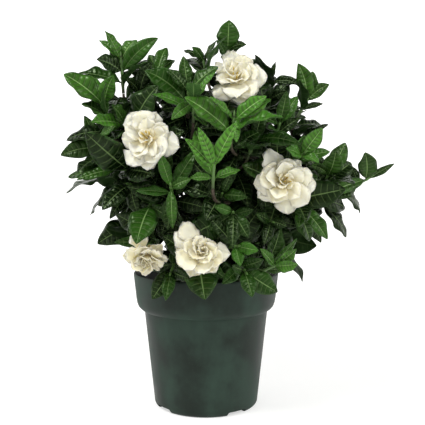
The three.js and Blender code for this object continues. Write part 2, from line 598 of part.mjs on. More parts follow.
// One leaf of a shoot: whorl 0 is at the tip. Leaves turn their faces towards the outside of the shrub, the
// shoot's tip and the light.
function leafBlade(shoot, whorl, index, [swing, open, shorten]) {
  const key = [shoot.id, whorl, index];
  const below = TIP_TO_WHORL + WHORL_STEP * whorl + (shoot.flowers ? CALYX : 0) + jitter(1.5, ...key, 3);
  const node = shoot.at.clone().addScaledVector(shoot.toward, -below);
  const aim = shoot.reach[whorl * shoot.count + index];
  const course = aim ? aimedCourse(shoot, node, aim) : whorledCourse(shoot, whorl, index, key);
  const out = course.out.applyAxisAngle(shoot.toward, radians(swing));
  const spread = course.spread + radians(open);
  const heading = shoot.toward.clone().multiplyScalar(Math.cos(spread)).addScaledVector(out, Math.sin(spread));
  const facing = node.clone().sub(HEART).multiply(OUTWARD).normalize();
  facing.addScaledVector(shoot.toward, ALONG_STEM).addScaledVector(UP, UPWARD);
  facing.addScaledVector(heading, -facing.dot(heading)).normalize();
  const bend = mix(0.8, 0.5, shoot.young) + jitter(0.2, ...key, 6);
  const length = (course.length * shorten * bend) / 2 / Math.sin(bend / 2);
  return {
    root: node.addScaledVector(out, 0.3),
    heading,
    facing,
    length,
    width: length * course.slim * (1 + jitter(0.08, ...key, 5)),
    rise: bend / 2,
    bend,
    roll: radians(course.roll) + jitter(0.25, ...key, 10),
    twist: jitter(0.3, ...key, 7),
    fold: mix(0.28, 0.5, shoot.young) + jitter(0.08, ...key, 8),
    curl: mix(0.3, 0.12, shoot.young),
    wave: 0.16,
    waves: 5,
    phase: 6.283 * draw(...key, 9),
    outline: leafOutline,
  };
}

const boxesMeet = (a, b) => [0, 1, 2].every((i) => a.min[i] < b.max[i] && b.min[i] < a.max[i]);

// Everything that leaves keep clear of. A leaf grows from its own shoot's stem, and its foot lies close to the
// other leaves of that shoot, so those are only kept clear of the rest of it.
class Neighbours {
  placed = [];
  add(shape, kind, owner) {
    this.placed.push({ shape, kind, owner, box: shape.boundingBox() });
  }
  touch(whole, withoutFoot, owner) {
    const [box, shortBox] = [whole.boundingBox(), withoutFoot.boundingBox()];
    return this.placed.some((other) => {
      if (other.owner !== owner) return boxesMeet(box, other.box) && !whole.intersect(other.shape).isEmpty();
      if (other.kind === "stem") return false;
      return boxesMeet(shortBox, other.box) && !withoutFoot.intersect(other.shape).isEmpty();
    });
  }
}

// The foot of a shoot's own stem, where its twig ends.
function shootFoot(shoot) {
  const length = TIP_TO_WHORL + WHORL_STEP * shoot.whorls - 2 + (shoot.flowers ? CALYX : 0);
  return shoot.at.clone().addScaledVector(shoot.toward, -length);
}

// The stem of a shoot, with the calyx of the bloom that it carries.
function stemSolid(shoot) {
  const foot = shootFoot(shoot).addScaledVector(shoot.toward, GAP);
  const stem = tube(new THREE.LineCurve3(foot, shoot.at), SHOOT_RADIUS, 3, 1);
  if (!shoot.flowers) return stem;
  const base = shoot.at.clone().addScaledVector(shoot.toward, -CALYX);
  return fuse([stem, tube(new THREE.LineCurve3(base, shoot.at), CALYX_RADIUS, 6, 1)]);
}

// The leaves of a shoot, either those that have a reach or the rest. Each takes the first of its swings in which
// it is clear of all that is there already.
function leafSolids(shoot, aimed, neighbours) {
  const leaves = [];
  for (let whorl = 0; whorl < shoot.whorls; whorl++) {
    for (let index = 0; index < shoot.count; index++) {
      if (aimed !== whorl * shoot.count + index < shoot.reach.length) continue;
      for (const swing of SWINGS) {
        const blade = leafBlade(shoot, whorl, index, swing);
        const roomy = { ...blade, width: blade.width + LEAF_CLEARANCE };
        const whole = bladeSolid(roomy, ROOM_STATIONS, 2, 2 * LEAF_CLEARANCE);
        const withoutFoot = bladeSolid(roomy, ROOM_STATIONS.slice(1), 2, 2 * LEAF_CLEARANCE);
        const leaf = bladeSolid(blade, LEAF_STATIONS, 2, LEAF_THICKNESS);
        if ([whole, leaf].some((shape) => neighbours.touch(shape, withoutFoot, shoot.id))) continue;
        neighbours.add(leaf, "leaf", shoot.id);
        leaves.push(leaf);
        break;
      }
    }
  }
  return leaves;
}

// ---- blooms -------------------------------------------------------------------------------------

// The whorls of a double bloom from the outside in: how many petals, their length and width as shares of the
// outer petal's length, the angle they leave the cup at and the angle they end at, in degrees from the bloom's
// axis, how deeply they are folded, and how far each is rolled so that it lies over the next.
const PETAL_WHORLS = [
  { count: 6, length: 1, width: 0.84, leaves: 66, ends: 114, fold: 0.06, roll: 0.24, root: 3 },
  { count: 6, length: 0.9, width: 0.78, leaves: 44, ends: 84, fold: 0.12, roll: 0.26, root: 3.4 },
  { count: 5, length: 0.72, width: 0.64, leaves: 23, ends: 52, fold: 0.2, roll: 0.36, root: 3.4 },
  { count: 4, length: 0.5, width: 0.4, leaves: 4, ends: 26, fold: 0.3, roll: 0.4, root: 2.6 },
];
const PETALS_SHUT = [20, 34, 40, 20]; // how many degrees the whorls of a closed bloom are drawn in by
const CUP_RADIUS = 7; // of the fleshy cup that petals grow from
const CUP_DEPTH = 8; // how far behind the bloom's middle that cup's widest part is
const PETAL_THICKNESS = 1.2;
const PETAL_STATIONS = [0, 0.42, 0.84, 1];

// The course of a petal that ends at a place of its own, from the cup.
function aimedPetal(bloom, whorl, base, axis, tip) {
  const reach = vector(tip).sub(base);
  const out = reach.addScaledVector(axis, -reach.dot(axis)).normalize();
  const chord = vector(tip).sub(base).addScaledVector(out, -whorl.root);
  const bend = radians(whorl.ends - whorl.leaves);
  const length = (chord.length() * bend) / 2 / Math.sin(bend / 2);
  const width = (length * whorl.width) / whorl.length;
  return { out, lean: chord.angleTo(axis), length, width, rise: bend / 2, bend };
}

// The course of any other petal: it leaves the cup at one angle and curves to another.
function whorledPetal(bloom, whorl, level, index, key) {
  const turn = bloom.turn + (360 / whorl.count) * (index + level / 2) + jitter(4, ...key, 1);
  const shut = (1 - bloom.open) * PETALS_SHUT[level];
  const lean = radians(whorl.leaves - shut * 0.5 + jitter(3, ...key, 2));
  const end = radians(whorl.ends - shut + jitter(8, ...key, 3));
  const length = bloom.petal * whorl.length * (1 + jitter(0.07, ...key, 4));
  const width = bloom.petal * whorl.width;
  return { out: around(unit(bloom.faces), turn), lean, length, width, rise: 0, bend: end - lean };
}

function petalBlade(bloom, level, index) {
  const whorl = PETAL_WHORLS[level];
  const key = [bloom.id, level, index];
  const axis = unit(bloom.faces);
  const base = vector(bloom.at).addScaledVector(axis, -CUP_DEPTH + level * 1.6);
  const tip = bloom.petals[level * PETAL_WHORLS[0].count + index];
  const aimed = level < 2 && aimedPetal(bloom, whorl, base, axis, tip);
  const course = aimed || whorledPetal(bloom, whorl, level, index, key);
  const { out, lean, length, width, rise, bend } = course;
  return {
    root: base.addScaledVector(out, whorl.root),
    heading: axis.clone().multiplyScalar(Math.cos(lean)).addScaledVector(out, Math.sin(lean)),
    facing: axis.clone().multiplyScalar(Math.sin(lean)).addScaledVector(out, -Math.cos(lean)),
    length,
    width: width * (1 + jitter(0.06, ...key, 5)),
    rise,
    bend,
    roll: whorl.roll,
    twist: jitter(0.12, ...key, 6),
    fold: whorl.fold,
    curl: level === 0 ? 0.2 : -whorl.fold * 0.4,
    wave: 0.12,
    waves: 4,
    phase: 6.283 * draw(...key, 7),
    outline: petalOutline,
  };
}

// The tube of a bloom, from the calyx, and the cup at its mouth.
function cupSolid(bloom) {
  const profile = [
    [0, GAP - BLOOM_DEPTH],
    [2.6, GAP - BLOOM_DEPTH],
    [3.2, -CUP_DEPTH - 4],
    [CUP_RADIUS, -CUP_DEPTH + 1],
    [0, -CUP_DEPTH + 8],
  ];
  const points = profile.map(([radius, depth]) => new THREE.Vector2(radius, depth));
  const turn = new THREE.Quaternion().setFromUnitVectors(new THREE.Vector3(0, 1, 0), unit(bloom.faces));
  return solid(new THREE.LatheGeometry(points, 7).applyQuaternion(turn).translate(...bloom.at));
}

function bloomSolid(bloom) {
  const pieces = [cupSolid(bloom)];
  PETAL_WHORLS.forEach((whorl, level) => {
    for (let index = 0; index < whorl.count; index++) {
      pieces.push(bladeSolid(petalBlade(bloom, level, index), PETAL_STATIONS, 2, PETAL_THICKNESS));
    }
  });
  return fuse(pieces);
}

// ---- the whole object ---------------------------------------------------------------------------

const MATERIALS = {
  pot: new THREE.MeshStandardMaterial({ color: 0x3f5148, roughness: 0.55 }),
  mix: new THREE.MeshStandardMaterial({ color: 0x33261c, roughness: 0.95 }),
  wood: new THREE.MeshStandardMaterial({ color: 0x6b5a43, roughness: 0.8 }),
  leaf: new THREE.MeshStandardMaterial({ color: 0x2c6a24, roughness: 0.32 }),
  youngLeaf: new THREE.MeshStandardMaterial({ color: 0x5c9437, roughness: 0.35 }),
  petal: new THREE.MeshStandardMaterial({ color: 0xf6f1e2, roughness: 0.6 }),
};

const gardenia = new THREE.Group();
const pot = potSolid();
const plug = mixSolid();
gardenia.add(mesh("pot", pot, MATERIALS.pot), mesh("potting_mix", plug, MATERIALS.mix));

const shoots = allShoots();
const branches = BRANCH_ENDS.map(branchCurve);
const crown = new THREE.CylinderGeometry(CROWN_RADIUS, CROWN_RADIUS, CROWN_TOP - CROWN_BOTTOM, 8)
  .rotateX(Math.PI / 2)
  .translate(0, 0, (CROWN_TOP + CROWN_BOTTOM) / 2);
const forks = forksOf(branches);
const twigs = shoots.map((shoot) => twigCurve(forks, shootFoot(shoot), shoot.toward));
const wood = fuse([
  solid(crown),
  ...branches.map((curve) => tube(curve, BRANCH_RADIUS, 4, 3)),
  ...twigs.map((curve) => tube(curve, TWIG_RADIUS, 3, 2)),
]);
gardenia.add(mesh("woody_branches", wood, MATERIALS.wood));

const neighbours = new Neighbours();
neighbours.add(pot, "pot");
neighbours.add(plug, "mix");
neighbours.add(wood, "wood");
BLOOMS.forEach((bloom, id) => {
  const shape = bloomSolid({ ...bloom, id });
  neighbours.add(shape, "bloom");
  gardenia.add(mesh(bloom.name, shape, MATERIALS.petal));
});
const growth = shoots.map((shoot) => [stemSolid(shoot)]);
growth.forEach(([stem], id) => neighbours.add(stem, "stem", id));
for (const aimed of [true, false]) {
  shoots.forEach((shoot, id) => growth[id].push(...leafSolids(shoot, aimed, neighbours)));
}
shoots.forEach((shoot, id) => {
  const material = shoot.young > 0.6 ? MATERIALS.youngLeaf : MATERIALS.leaf;
  gardenia.add(mesh(shoot.name, fuse(growth[id]), material));
});

export default gardenia;
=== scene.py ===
import math
from dataclasses import dataclass, replace

import bmesh
import bpy
from bpy.props import FloatProperty, FloatVectorProperty, IntProperty, PointerProperty
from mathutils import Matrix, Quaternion, Vector, kdtree, noise


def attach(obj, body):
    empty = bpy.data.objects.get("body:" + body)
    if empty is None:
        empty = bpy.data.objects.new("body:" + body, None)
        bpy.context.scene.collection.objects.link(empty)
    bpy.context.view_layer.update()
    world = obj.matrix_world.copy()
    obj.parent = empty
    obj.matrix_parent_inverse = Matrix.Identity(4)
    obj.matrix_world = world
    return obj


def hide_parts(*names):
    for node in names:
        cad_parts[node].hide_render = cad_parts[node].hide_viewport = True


bl_info = {
    "name": "Potted Gardenia",
    "version": (1, 0, 0),
    "blender": (4, 5, 0),
    "location": "View3D > Sidebar > Gardenia",
    "description": "Builds a flowering gardenia shrub in a nursery pot around its packed model",
    "category": "Add Mesh",
}

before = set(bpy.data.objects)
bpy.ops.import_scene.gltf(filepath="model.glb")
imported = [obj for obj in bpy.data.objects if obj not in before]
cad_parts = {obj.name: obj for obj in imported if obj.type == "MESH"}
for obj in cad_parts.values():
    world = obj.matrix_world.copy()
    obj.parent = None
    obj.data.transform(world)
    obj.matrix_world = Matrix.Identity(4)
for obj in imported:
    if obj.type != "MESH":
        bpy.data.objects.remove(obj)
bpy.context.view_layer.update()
MM = 0.001
UP = Vector((0, 0, 1))

# ---- the plant's plan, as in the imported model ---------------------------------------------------

GAP = 0.3
SEED = 11
POT_HEIGHT = 150
RIM_RADIUS = 82.3
COLLAR_RADIUS = 79.4
COLLAR_BOTTOM = 109
WALL_RADIUS = 70.6
FOOT_RADIUS = 59
FOOT_ROUND = 10  # of the corner inside
FOOT_EDGE = 4.5  # of the corner outside
POT_WALL = 2
NOTCH_COUNT = 4
NOTCH_FIRST = 36.5
NOTCH_WIDTH = 25
NOTCH_HEIGHT = 4.5
NOTCH_REACH = 20  # how long the block is that cuts one
MIX_LEVEL = 134
MIX_SLOPE = 0.11  # of the collar's inner wall, which the mix follows
CROWN_RADIUS = 8
CROWN_BOTTOM = 106
CROWN_TOP = 134
CROWN_HOLE = 9.5
BRANCH_RADIUS = (3.6, 2.2)
TWIG_RADIUS = (2, 1.5)
SHOOT_RADIUS = (1.7, 1.2)
BRANCH_ROOT = 4  # how far off the crown's axis and below its top a branch is rooted
FORKS_PER_BRANCH = 14

# Where each main branch of the shrub ends.
BRANCH_ENDS = [
    (-78, -34, 285),
    (-22, -22, 335),
    (72, -28, 300),
    (112, -14, 232),
    (-52, 62, 290),
    (48, 60, 300),
]

# The blooms: name, middle, the way it faces, its petals' length, how far open it is, its turn in degrees,
# where leaves of the shoot under it end, with their width for their length, and where its outer petals end.
BLOOMS = [
    ("bloom_left", (-57, -95, 296), (-0.12, -0.97, 0.2), 29, 1.7, 12, [
        (-21, -84, 304, 0.58), (-33, -88, 267, 0.49), (-86, -72, 295, 0.42), (-56, -74, 328, 0.46),
        (-76, -70, 259, 0.49),
    ], [
        (-76, -86, 322), (-48, -90, 323), (-24, -101, 287), (-58, -99, 264), (-77, -97, 270),
        (-84, -89, 298), (-63, -97, 324), (-36, -102, 308), (-38, -109, 281), (-47, -107, 272),
        (-69, -107, 278), (-79, -98, 310),
    ]),
    ("bloom_top", (32, -62, 361), (0.1, -0.86, 0.5), 29, 0.9, 40, [
        (0, -70, 341, 0.49), (65, -60, 350, 0.49), (17, -84, 327, 0.46),
    ], [
        (10, -53, 378), (30, -43, 392), (65, -57, 363), (42, -77, 331), (9, -76, 338), (55, -66, 346),
        (44, -56, 383), (55, -64, 369), (31, -87, 337), (11, -76, 357), (22, -59, 383), (47, -81, 339),
    ]),
    ("bloom_right", (79, -86, 253), (0.08, -0.99, 0.1), 33, 1.35, 25, [
        (41, -84, 269, 0.72), (58, -76, 235, 0.49), (117, -66, 259, 0.49), (80, -76, 296, 0.49),
    ], [
        (63, -82, 288), (98, -81, 275), (113, -83, 248), (84, -87, 220), (52, -89, 237), (48, -88, 251),
        (60, -92, 268), (85, -90, 277), (108, -90, 261), (103, -92, 231), (68, -97, 232), (54, -96, 258),
    ]),
    ("bloom_rim", (-3, -102, 184), (0.12, -0.93, 0.3), 29, 0.62, 5, [
        (0, -106, 137, 0.65), (-43, -88, 199, 0.49), (21, -92, 160, 0.49),
    ], [
        (-23, -93, 214), (-31, -98, 204), (26, -99, 182), (11, -108, 164), (-15, -112, 160),
        (-30, -105, 184), (-26, -117, 174), (-9, -107, 200), (11, -107, 192), (17, -112, 175),
        (-1, -118, 164), (-22, -111, 193),
    ]),
    ("bloom_low", (-60, -92, 176), (-0.12, -0.8, -0.45), 26, 0.55, 50, [
        (-92, -84, 192, 0.35), (-46, -84, 194, 0.49), (-79, -78, 219, 0.49),
    ], [
        (-69, -103, 206), (-42, -100, 192), (-36, -98, 177), (-46, -91, 163), (-75, -87, 165),
        (-84, -91, 179), (-77, -107, 186), (-60, -91, 158), (-41, -103, 172), (-48, -110, 187),
        (-62, -110, 191), (-70, -102, 172),
    ]),
]

# The leafy shoots: name, tip, the way it grows, turn, whorls, leaves in each, leaf length, spread, width for
# length, and how young its leaves are. Then, from the top whorl down, where leaves that show most end, with
# their width for their length and, where they lie on one side, their roll in degrees.
SHOOTS = [
    ("crown_left", (-90, -42, 386), (-0.05, -0.1, 1), 20, 3, 3, 49, 40, 0.47, 0.6, [
        (-106, -46, 412, 0.42), (-75, -30, 406, 0.74), (-114, -36, 404, 0.32), (-112, -54, 386, 0.67, -70),
        (-49, -46, 404, 0.39, 60), (-101, -24, 400, 0.46), (-66, -66, 384, 0.51), (-136, -38, 369, 0.53),
        (-83, -20, 375, 0.46),
    ]),
    ("left_shoulder", (-71, -32, 354), (0.1, 0, 1), 90, 2, 3, 47, 40, 0.49, 0.05, [
        (-58, -36, 381, 0.46, 60), (-80, -48, 371, 0.49, -70), (-48, -40, 353, 0.46, 70),
        (-82, -54, 349, 0.46), (-56, -54, 339, 0.46),
    ]),
    ("left_up", (-106, -62, 337), (-0.2, -0.3, 0.9), 180, 2, 3, 49, 44, 0.47, 0.6, [
        (-146, -64, 364, 0.53), (-93, -76, 361, 0.56, 60), (-128, -40, 364, 0.51), (-125, -70, 336, 0.65),
        (-97, -96, 350, 0.3), (-117, -40, 349, 0.49),
    ]),
    ("left_fan", (-88, -68, 315), (-0.6, -0.5, 0.5), 60, 2, 3, 45, 52, 0.55, 0.5, [
        (-114, -88, 313, 0.58), (-112, -60, 299, 0.46), (-93, -88, 331, 0.58),
    ]),
    ("left_side", (-113, -44, 291), (-0.8, -0.3, 0.45), 75, 2, 3, 47, 42, 0.47, 0.35, [
        (-153, -52, 281, 0.49, -50), (-129, -46, 323, 0.35), (-106, -62, 310, 0.37, 50),
    ]),
    ("left_arm", (-97, -68, 267), (-0.9, -0.35, 0.1), 100, 2, 3, 54, 40, 0.45, 0.3, [
        (-143, -64, 258, 0.49), (-113, -86, 299, 0.39), (-130, -84, 255, 0.39), (-85, -74, 295, 0.42),
        (-51, -98, 255, 0.58),
    ]),
    ("left_low", (-80, -66, 251), (-0.35, -0.9, 0.1), 130, 2, 3, 49, 42, 0.51, 0, [
        (-112, -62, 228, 0.6), (-104, -86, 225, 0.46), (-76, -78, 220, 0.49), (-101, -56, 214, 0.35),
    ]),
    ("star_left", (-34, -98, 250), (0, -0.8, 0.4), 50, 2, 3, 47, 66, 0.45, 0.45, [
        (-48, -102, 281, 0.35), (-14, -104, 256, 0.58), (-32, -100, 207, 0.28), (-8, -88, 285, 0.35),
        (-70, -84, 244, 0.37), (-38, -84, 204, 0.46),
    ]),
    ("left_low_in", (-59, -74, 226), (-0.4, -0.6, -0.5), 200, 2, 3, 45, 48, 0.49, 0.15, [
        (-77, -80, 196, 0.51), (-67, -112, 190, 0.49), (-39, -90, 217, 0.49),
    ]),
    ("rim_left", (-35, -88, 161), (-0.1, -0.7, -0.3), 215, 2, 3, 40, 52, 0.51, 0.1, [
        (-53, -98, 136, 0.56), (-15, -100, 157, 0.46), (-39, -104, 136, 0.39), (-60, -70, 164, 0.49),
        (-10, -78, 171, 0.49), (-35, -66, 180, 0.49),
    ]),
    ("rim_right", (41, -90, 162), (0.2, -0.7, -0.2), 300, 2, 3, 43, 55, 0.51, 0.1, [
        (47, -102, 139, 0.51), (73, -90, 142, 0.6), (27, -100, 170, 0.58), (57, -96, 173, 0.49),
        (17, -88, 150, 0.49), (40, -70, 182, 0.49),
    ]),
    ("right_low", (75, -72, 168), (0.7, -0.4, 0.4), 30, 2, 3, 43, 40, 0.41, 0.65, [
        (95, -78, 169, 0.58), (94, -74, 184, 0.52), (55, -90, 186, 0.37), (96, -62, 194, 0.28),
        (84, -70, 203, 0.42), (85, -56, 162, 0.42),
    ]),
    ("front_large", (28, -94, 223), (0, -0.8, 0.15), 265, 2, 3, 47, 66, 0.51, 0.1, [
        (27, -108, 188, 0.37), (43, -98, 198, 0.58), (9, -100, 229, 0.49), (49, -84, 225, 0.49),
        (3, -92, 205, 0.49),
    ]),
    ("front_low", (33, -92, 189), (0.35, -0.7, 0.1), 0, 2, 3, 38, 60, 0.51, 0.3, [
        (-1, -104, 203, 0.42), (53, -98, 185, 0.58), (35, -100, 170, 0.58),
    ]),
    ("mid_low", (17, -80, 241), (0.1, -0.95, 0.2), 60, 2, 3, 43, 46, 0.47, 0.1, [
        (-2, -86, 243, 0.58), (27, -88, 263, 0.35), (42, -86, 235, 0.49),
    ]),
    ("mid_deep", (22, -52, 278), (0, -0.6, 0.55), 40, 2, 3, 49, 64, 0.53, 0, [
        (42, -70, 286, 0.49), (3, -72, 286, 0.49), (19, -76, 257, 0.49),
    ]),
    ("centre_sprig", (9, -106, 272), (0.05, -0.3, 0.95), 180, 2, 3, 47, 44, 0.43, 1, [
        (-19, -114, 295, 0.39), (-6, -114, 307, 0.3), (31, -114, 311, 0.32), (-15, -94, 257, 0.46),
        (35, -92, 265, 0.46),
    ]),
    ("upper_mid", (29, -86, 319), (0.1, -0.25, 0.95), 0, 2, 3, 49, 42, 0.45, 0.8, [
        (61, -94, 338, 0.44), (5, -96, 337, 0.32), (31, -100, 292, 0.42),
    ]),
    ("upper_left_mid", (-11, -78, 339), (0.05, -0.3, 0.95), 150, 2, 3, 47, 44, 0.45, 0.75, [
        (-11, -112, 348, 0.46), (-33, -98, 314, 0.39, -40), (10, -84, 363, 0.32), (-53, -84, 341, 0.3),
        (1, -92, 309, 0.46),
    ]),
    ("top_mid", (-18, -62, 350), (0, -0.3, 0.95), 120, 2, 3, 47, 40, 0.51, 0.25, [
        (-38, -72, 368, 0.51), (-22, -58, 385, 0.35), (13, -68, 371, 0.53),
    ]),
    ("top_left_mid", (-52, -30, 372), (0.1, 0, 1), 200, 2, 3, 45, 48, 0.49, 0.3, [
        (-62, -18, 392, 0.49), (-36, -20, 391, 0.46), (-51, -8, 398, 0.46), (-63, -50, 366, 0.49),
        (-31, -46, 363, 0.51),
    ]),
    ("top_tall", (24, -28, 400), (0.05, 0, 1), 90, 2, 2, 43, 40, 0.55, 0.35, [
        (25, -34, 426, 0.77), (44, -24, 402, 0.42, 65), (11, -30, 405, 0.46, -55), (36, -8, 410, 0.46),
    ]),
    ("top_left_in", (-3, -34, 386), (-0.2, -0.05, 0.95), 170, 2, 3, 43, 50, 0.49, 0.15, [
        (-14, -42, 396, 0.49, -70), (12, -36, 404, 0.35), (-24, -22, 396, 0.42), (7, -58, 367, 0.51),
    ]),
    ("top_right", (74, -8, 370), (0.1, 0.1, 0.95), 170, 2, 3, 43, 52, 0.47, 0.3, [
        (77, -14, 385, 0.35), (44, -20, 386, 0.39, -70), (100, -24, 360, 0.42, 70),
    ]),
    ("top_right_front", (70, -48, 342), (0.4, -0.4, 0.75), 320, 2, 3, 45, 48, 0.49, 0.05, [
        (59, -60, 355, 0.51, -65), (83, -58, 351, 0.49, 60), (54, -66, 325, 0.49),
    ]),
    ("right_top", (114, -16, 346), (0.5, -0.1, 0.85), 130, 2, 3, 49, 46, 0.49, 0.5, [
        (101, -22, 382, 0.49, -50), (136, -18, 360, 0.49, 60), (124, -14, 375, 0.53), (100, -40, 362, 0.58),
        (131, -6, 340, 0.28, 50), (117, -34, 358, 0.49),
    ]),
    ("right_up", (78, -64, 317), (0.2, -0.35, 0.85), 40, 2, 3, 47, 38, 0.45, 0.45, [
        (83, -76, 345, 0.44), (49, -70, 323, 0.49), (96, -58, 342, 0.46), (98, -66, 319, 0.46),
        (63, -86, 307, 0.49), (92, -44, 336, 0.49),
    ]),
    ("right_mid", (52, -74, 299), (0.3, -0.5, 0.8), 200, 2, 3, 47, 46, 0.47, 0.1, [
        (100, -84, 303, 0.32), (58, -76, 326, 0.49), (35, -84, 291, 0.49),
    ]),
    ("above_right_bloom", (100, -86, 282), (0.35, -0.65, 0.3), 0, 2, 3, 38, 62, 0.53, 0.6, [
        (80, -98, 286, 0.65), (112, -100, 272, 0.51), (118, -84, 307, 0.53), (101, -80, 300, 0.58),
        (128, -72, 284, 0.42),
    ]),
    ("right_arm_mid", (133, -44, 264), (0.35, -0.3, 0.85), 110, 2, 3, 40, 42, 0.59, 0.5, [
        (137, -56, 286, 0.7, -25), (150, -40, 295, 0.49, -25), (117, -58, 280, 0.49, -50),
    ]),
    ("right_arm_tip", (184, -14, 258), (0.85, -0.1, 0.5), 270, 2, 3, 47, 44, 0.53, 0.5, [
        (175, -24, 285, 0.74, -70), (210, -14, 273, 0.28), (121, -34, 240, 0.3), (162, -8, 270, 0.49, -60),
        (142, -40, 240, 0.51), (143, -16, 257, 0.49),
    ]),
    ("below_right_bloom", (103, -66, 225), (0.6, -0.45, -0.4), 330, 2, 3, 45, 42, 0.47, 0.5, [
        (126, -74, 194, 0.49), (94, -90, 208, 0.42), (112, -60, 211, 0.49),
    ]),
    ("below_right_in", (69, -72, 212), (0.3, -0.75, -0.1), 20, 2, 3, 40, 56, 0.49, 0.1, [
        (83, -84, 208, 0.51), (51, -86, 221, 0.51), (59, -88, 190, 0.46),
    ]),
    ("right_low_in", (67, -44, 190), (0.8, -0.3, 0.2), 70, 2, 3, 45, 46, 0.47, 0, [
        (90, -58, 203, 0.37), (77, -54, 206, 0.39), (59, -66, 176, 0.49),
    ]),
]

# The rings of shoots at the back: height, radius, count, first and last bearing, and how steeply they grow.
BACK_RINGS = [
    (196, 84, 4, (18, 162), 0.25),
    (268, 112, 5, (4, 176), 0.5),
    (336, 84, 4, (30, 155), 1),
]

# Whorls, leaves in each, leaf length, spread, width for length and youth of the shoots that share them.
UNDER_BLOOM = (2, 3, 40, 66, 0.46, 0.3)
AT_BACK = (2, 3, 54, 48, 0.5, 0.15)

WHORL_STEP = 12
TIP_TO_WHORL = 5
WHORL_SIZES = (1, 1.18, 1.2)
CALYX = 8
CALYX_RADIUS = (1.6, 3.4)
BLOOM_DEPTH = 22
BUD_LENGTH = 7
BUD_RADIUS = 1.5
HEART = Vector((0, 30, 215))
OUTWARD = Vector((0.2, 1, 0.5))
ALONG_STEM = 0.3
UPWARD = 0.15
SHADED, OPEN_SKY = 72, 130  # how far from the heart leaves start to be painted lighter, and are painted fully lit: painted shade inside the shrub

# How a leaf may swing to keep clear: degrees round the stem, degrees away from it, and a share of its length.
SWINGS = [
    (0, 0, 1), (7, 0, 1), (-7, 0, 1), (0, 7, 1), (0, -7, 1), (14, 0, 1), (-14, 0, 1), (7, 12, 1),
    (-7, 12, 1), (7, -12, 1), (-7, -12, 1), (26, 6, 1), (-26, 6, 1), (26, -10, 1), (-26, -10, 1),
    (0, 24, 0.9), (0, 0, 0.8), (38, 0, 0.9), (-38, 0, 0.9), (14, -20, 0.8), (-14, -20, 0.8), (0, 0, 0.64),
    (14, 14, 0.64), (-14, 14, 0.64),
]
TIP_MATCH = 0.05  # how near a swing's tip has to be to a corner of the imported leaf

# The whorls of a bloom from the outside in: count, length, width, the angles they leave and end at, fold,
# roll and how far from the axis they are rooted.
PETAL_WHORLS = [
    (6, 1, 0.84, 66, 114, 0.06, 0.24, 3),
    (6, 0.9, 0.78, 44, 84, 0.12, 0.26, 3.4),
    (5, 0.72, 0.64, 23, 52, 0.2, 0.36, 3.4),
    (4, 0.5, 0.4, 4, 26, 0.3, 0.4, 2.6),
]
PETAL_STEP = 1.6  # from one whorl's roots up to the next one's
PLACED_WHORLS = 2  # whose petals end at places of their own
PETALS_SHUT = (20, 34, 40, 20)  # degrees that each whorl closes by when a bloom is shut
PETAL_RUFFLE = (2.6, 2.3, 1.5, 1)  # height of each whorl's ruffles
BLOOM_AGES = (0, 0.15, 0.2, 0.5, 0.8)  # how far each bloom has turned from white to cream
CUP_RADIUS = 7
CUP_DEPTH = 8
TUBE_RADIUS = 2.6
STAMENS = 6  # round one stigma
STAMEN_LENGTH = (10, 17)

# The older leaves inside the shrub, in pairs down each twig.
INNER_LEAF = 46
INNER_FIRST = 10
INNER_STEP = 14
INNER_PAIRS = 5
INNER_FRONT = -92  # how far forward they may reach

# Chips of bark and grains of perlite on the mix.
CHIP_REACH = (14, 76)
CHIP_SIZE = (2, 5.5)
GRAIN_SIZE = (1, 2)
GRAIN_SHARE = 0.22

CHIP_DRAWS, INNER_DRAWS = 700, 900  # first keys of the draws that aren't a shoot's or a bloom's

# The room: a paper floor that curves up into a round wall, and the camera before the plant.
FLOOR_REACH = 1200
WALL_BEND = 600
WALL_HEIGHTS = (1300, 2000)
LIT_FROM, LIT_FULLY = 350, 1300  # reach at which the floor starts to glow as the wall does, and does fully
LIGHTS = [
    ("key_soft", (-650, -600, 1400), (0.4, 0.4), 1.6),
    ("side_soft", (900, -700, 900), (0.4, 0.6), 0.7),
]
LIGHTS_AIM = 250
CAMERA_PLACE = (7.4, -755, 258)
CAMERA_DIP = 3.06  # degrees below level
LENS, SENSOR = 56.2, 36

# ---- small helpers ------------------------------------------------------------------------------


def draw(*keys):
    """A repeatable draw between 0 and 1 for whole numbers, the last of which says what it is for."""
    total = SEED + sum(key * (12.9898 + 65.2341 * i) for i, key in enumerate(keys))
    value = math.sin(total) * 43758.5453
    return value - math.floor(value)


def jitter(size, *keys):
    return (draw(*keys) * 2 - 1) * size


def mix(a, b, share):
    return a + (b - a) * share


def clamp(value, low=0.0, high=1.0):
    return max(low, min(high, value))


def smoothstep(value, low, high):
    share = clamp((value - low) / (high - low))
    return share * share * (3 - 2 * share)


def ridge(off, width):
    """A rounded ridge: 1 on its crest, and next to nothing two widths off."""
    return math.exp(-((off / width) ** 2))


def around(axis, degrees):
    """The unit vector square to an axis at a turn: 0 leans towards +X."""
    first = (Vector((1, 0, 0)) - axis * axis.x).normalized()
    second = axis.cross(first)
    return first * math.cos(math.radians(degrees)) + second * math.sin(math.radians(degrees))


def away_from(axis, reach):
    """The unit vector square to an axis towards a place."""
    return (reach - axis * reach.dot(axis)).normalized()


def straight(start, end):
    """The straight course from start to end."""
    return lambda share: start.lerp(end, share)


def linear(hex_code):
    """An sRGB hex colour as linear red, green and blue."""
    channels = [int(hex_code[i : i + 2], 16) / 255 for i in (0, 2, 4)]
    return tuple(c / 12.92 if c <= 0.04045 else ((c + 0.055) / 1.055) ** 2.4 for c in channels)


# ---- blades: leaves and petals ------------------------------------------------------------------


def leaf_outline(along):
    share = clamp((along - 0.06) / 0.94)
    return math.sin(math.pi * share**0.95) ** 0.75 * (1 - 0.22 * share**4)


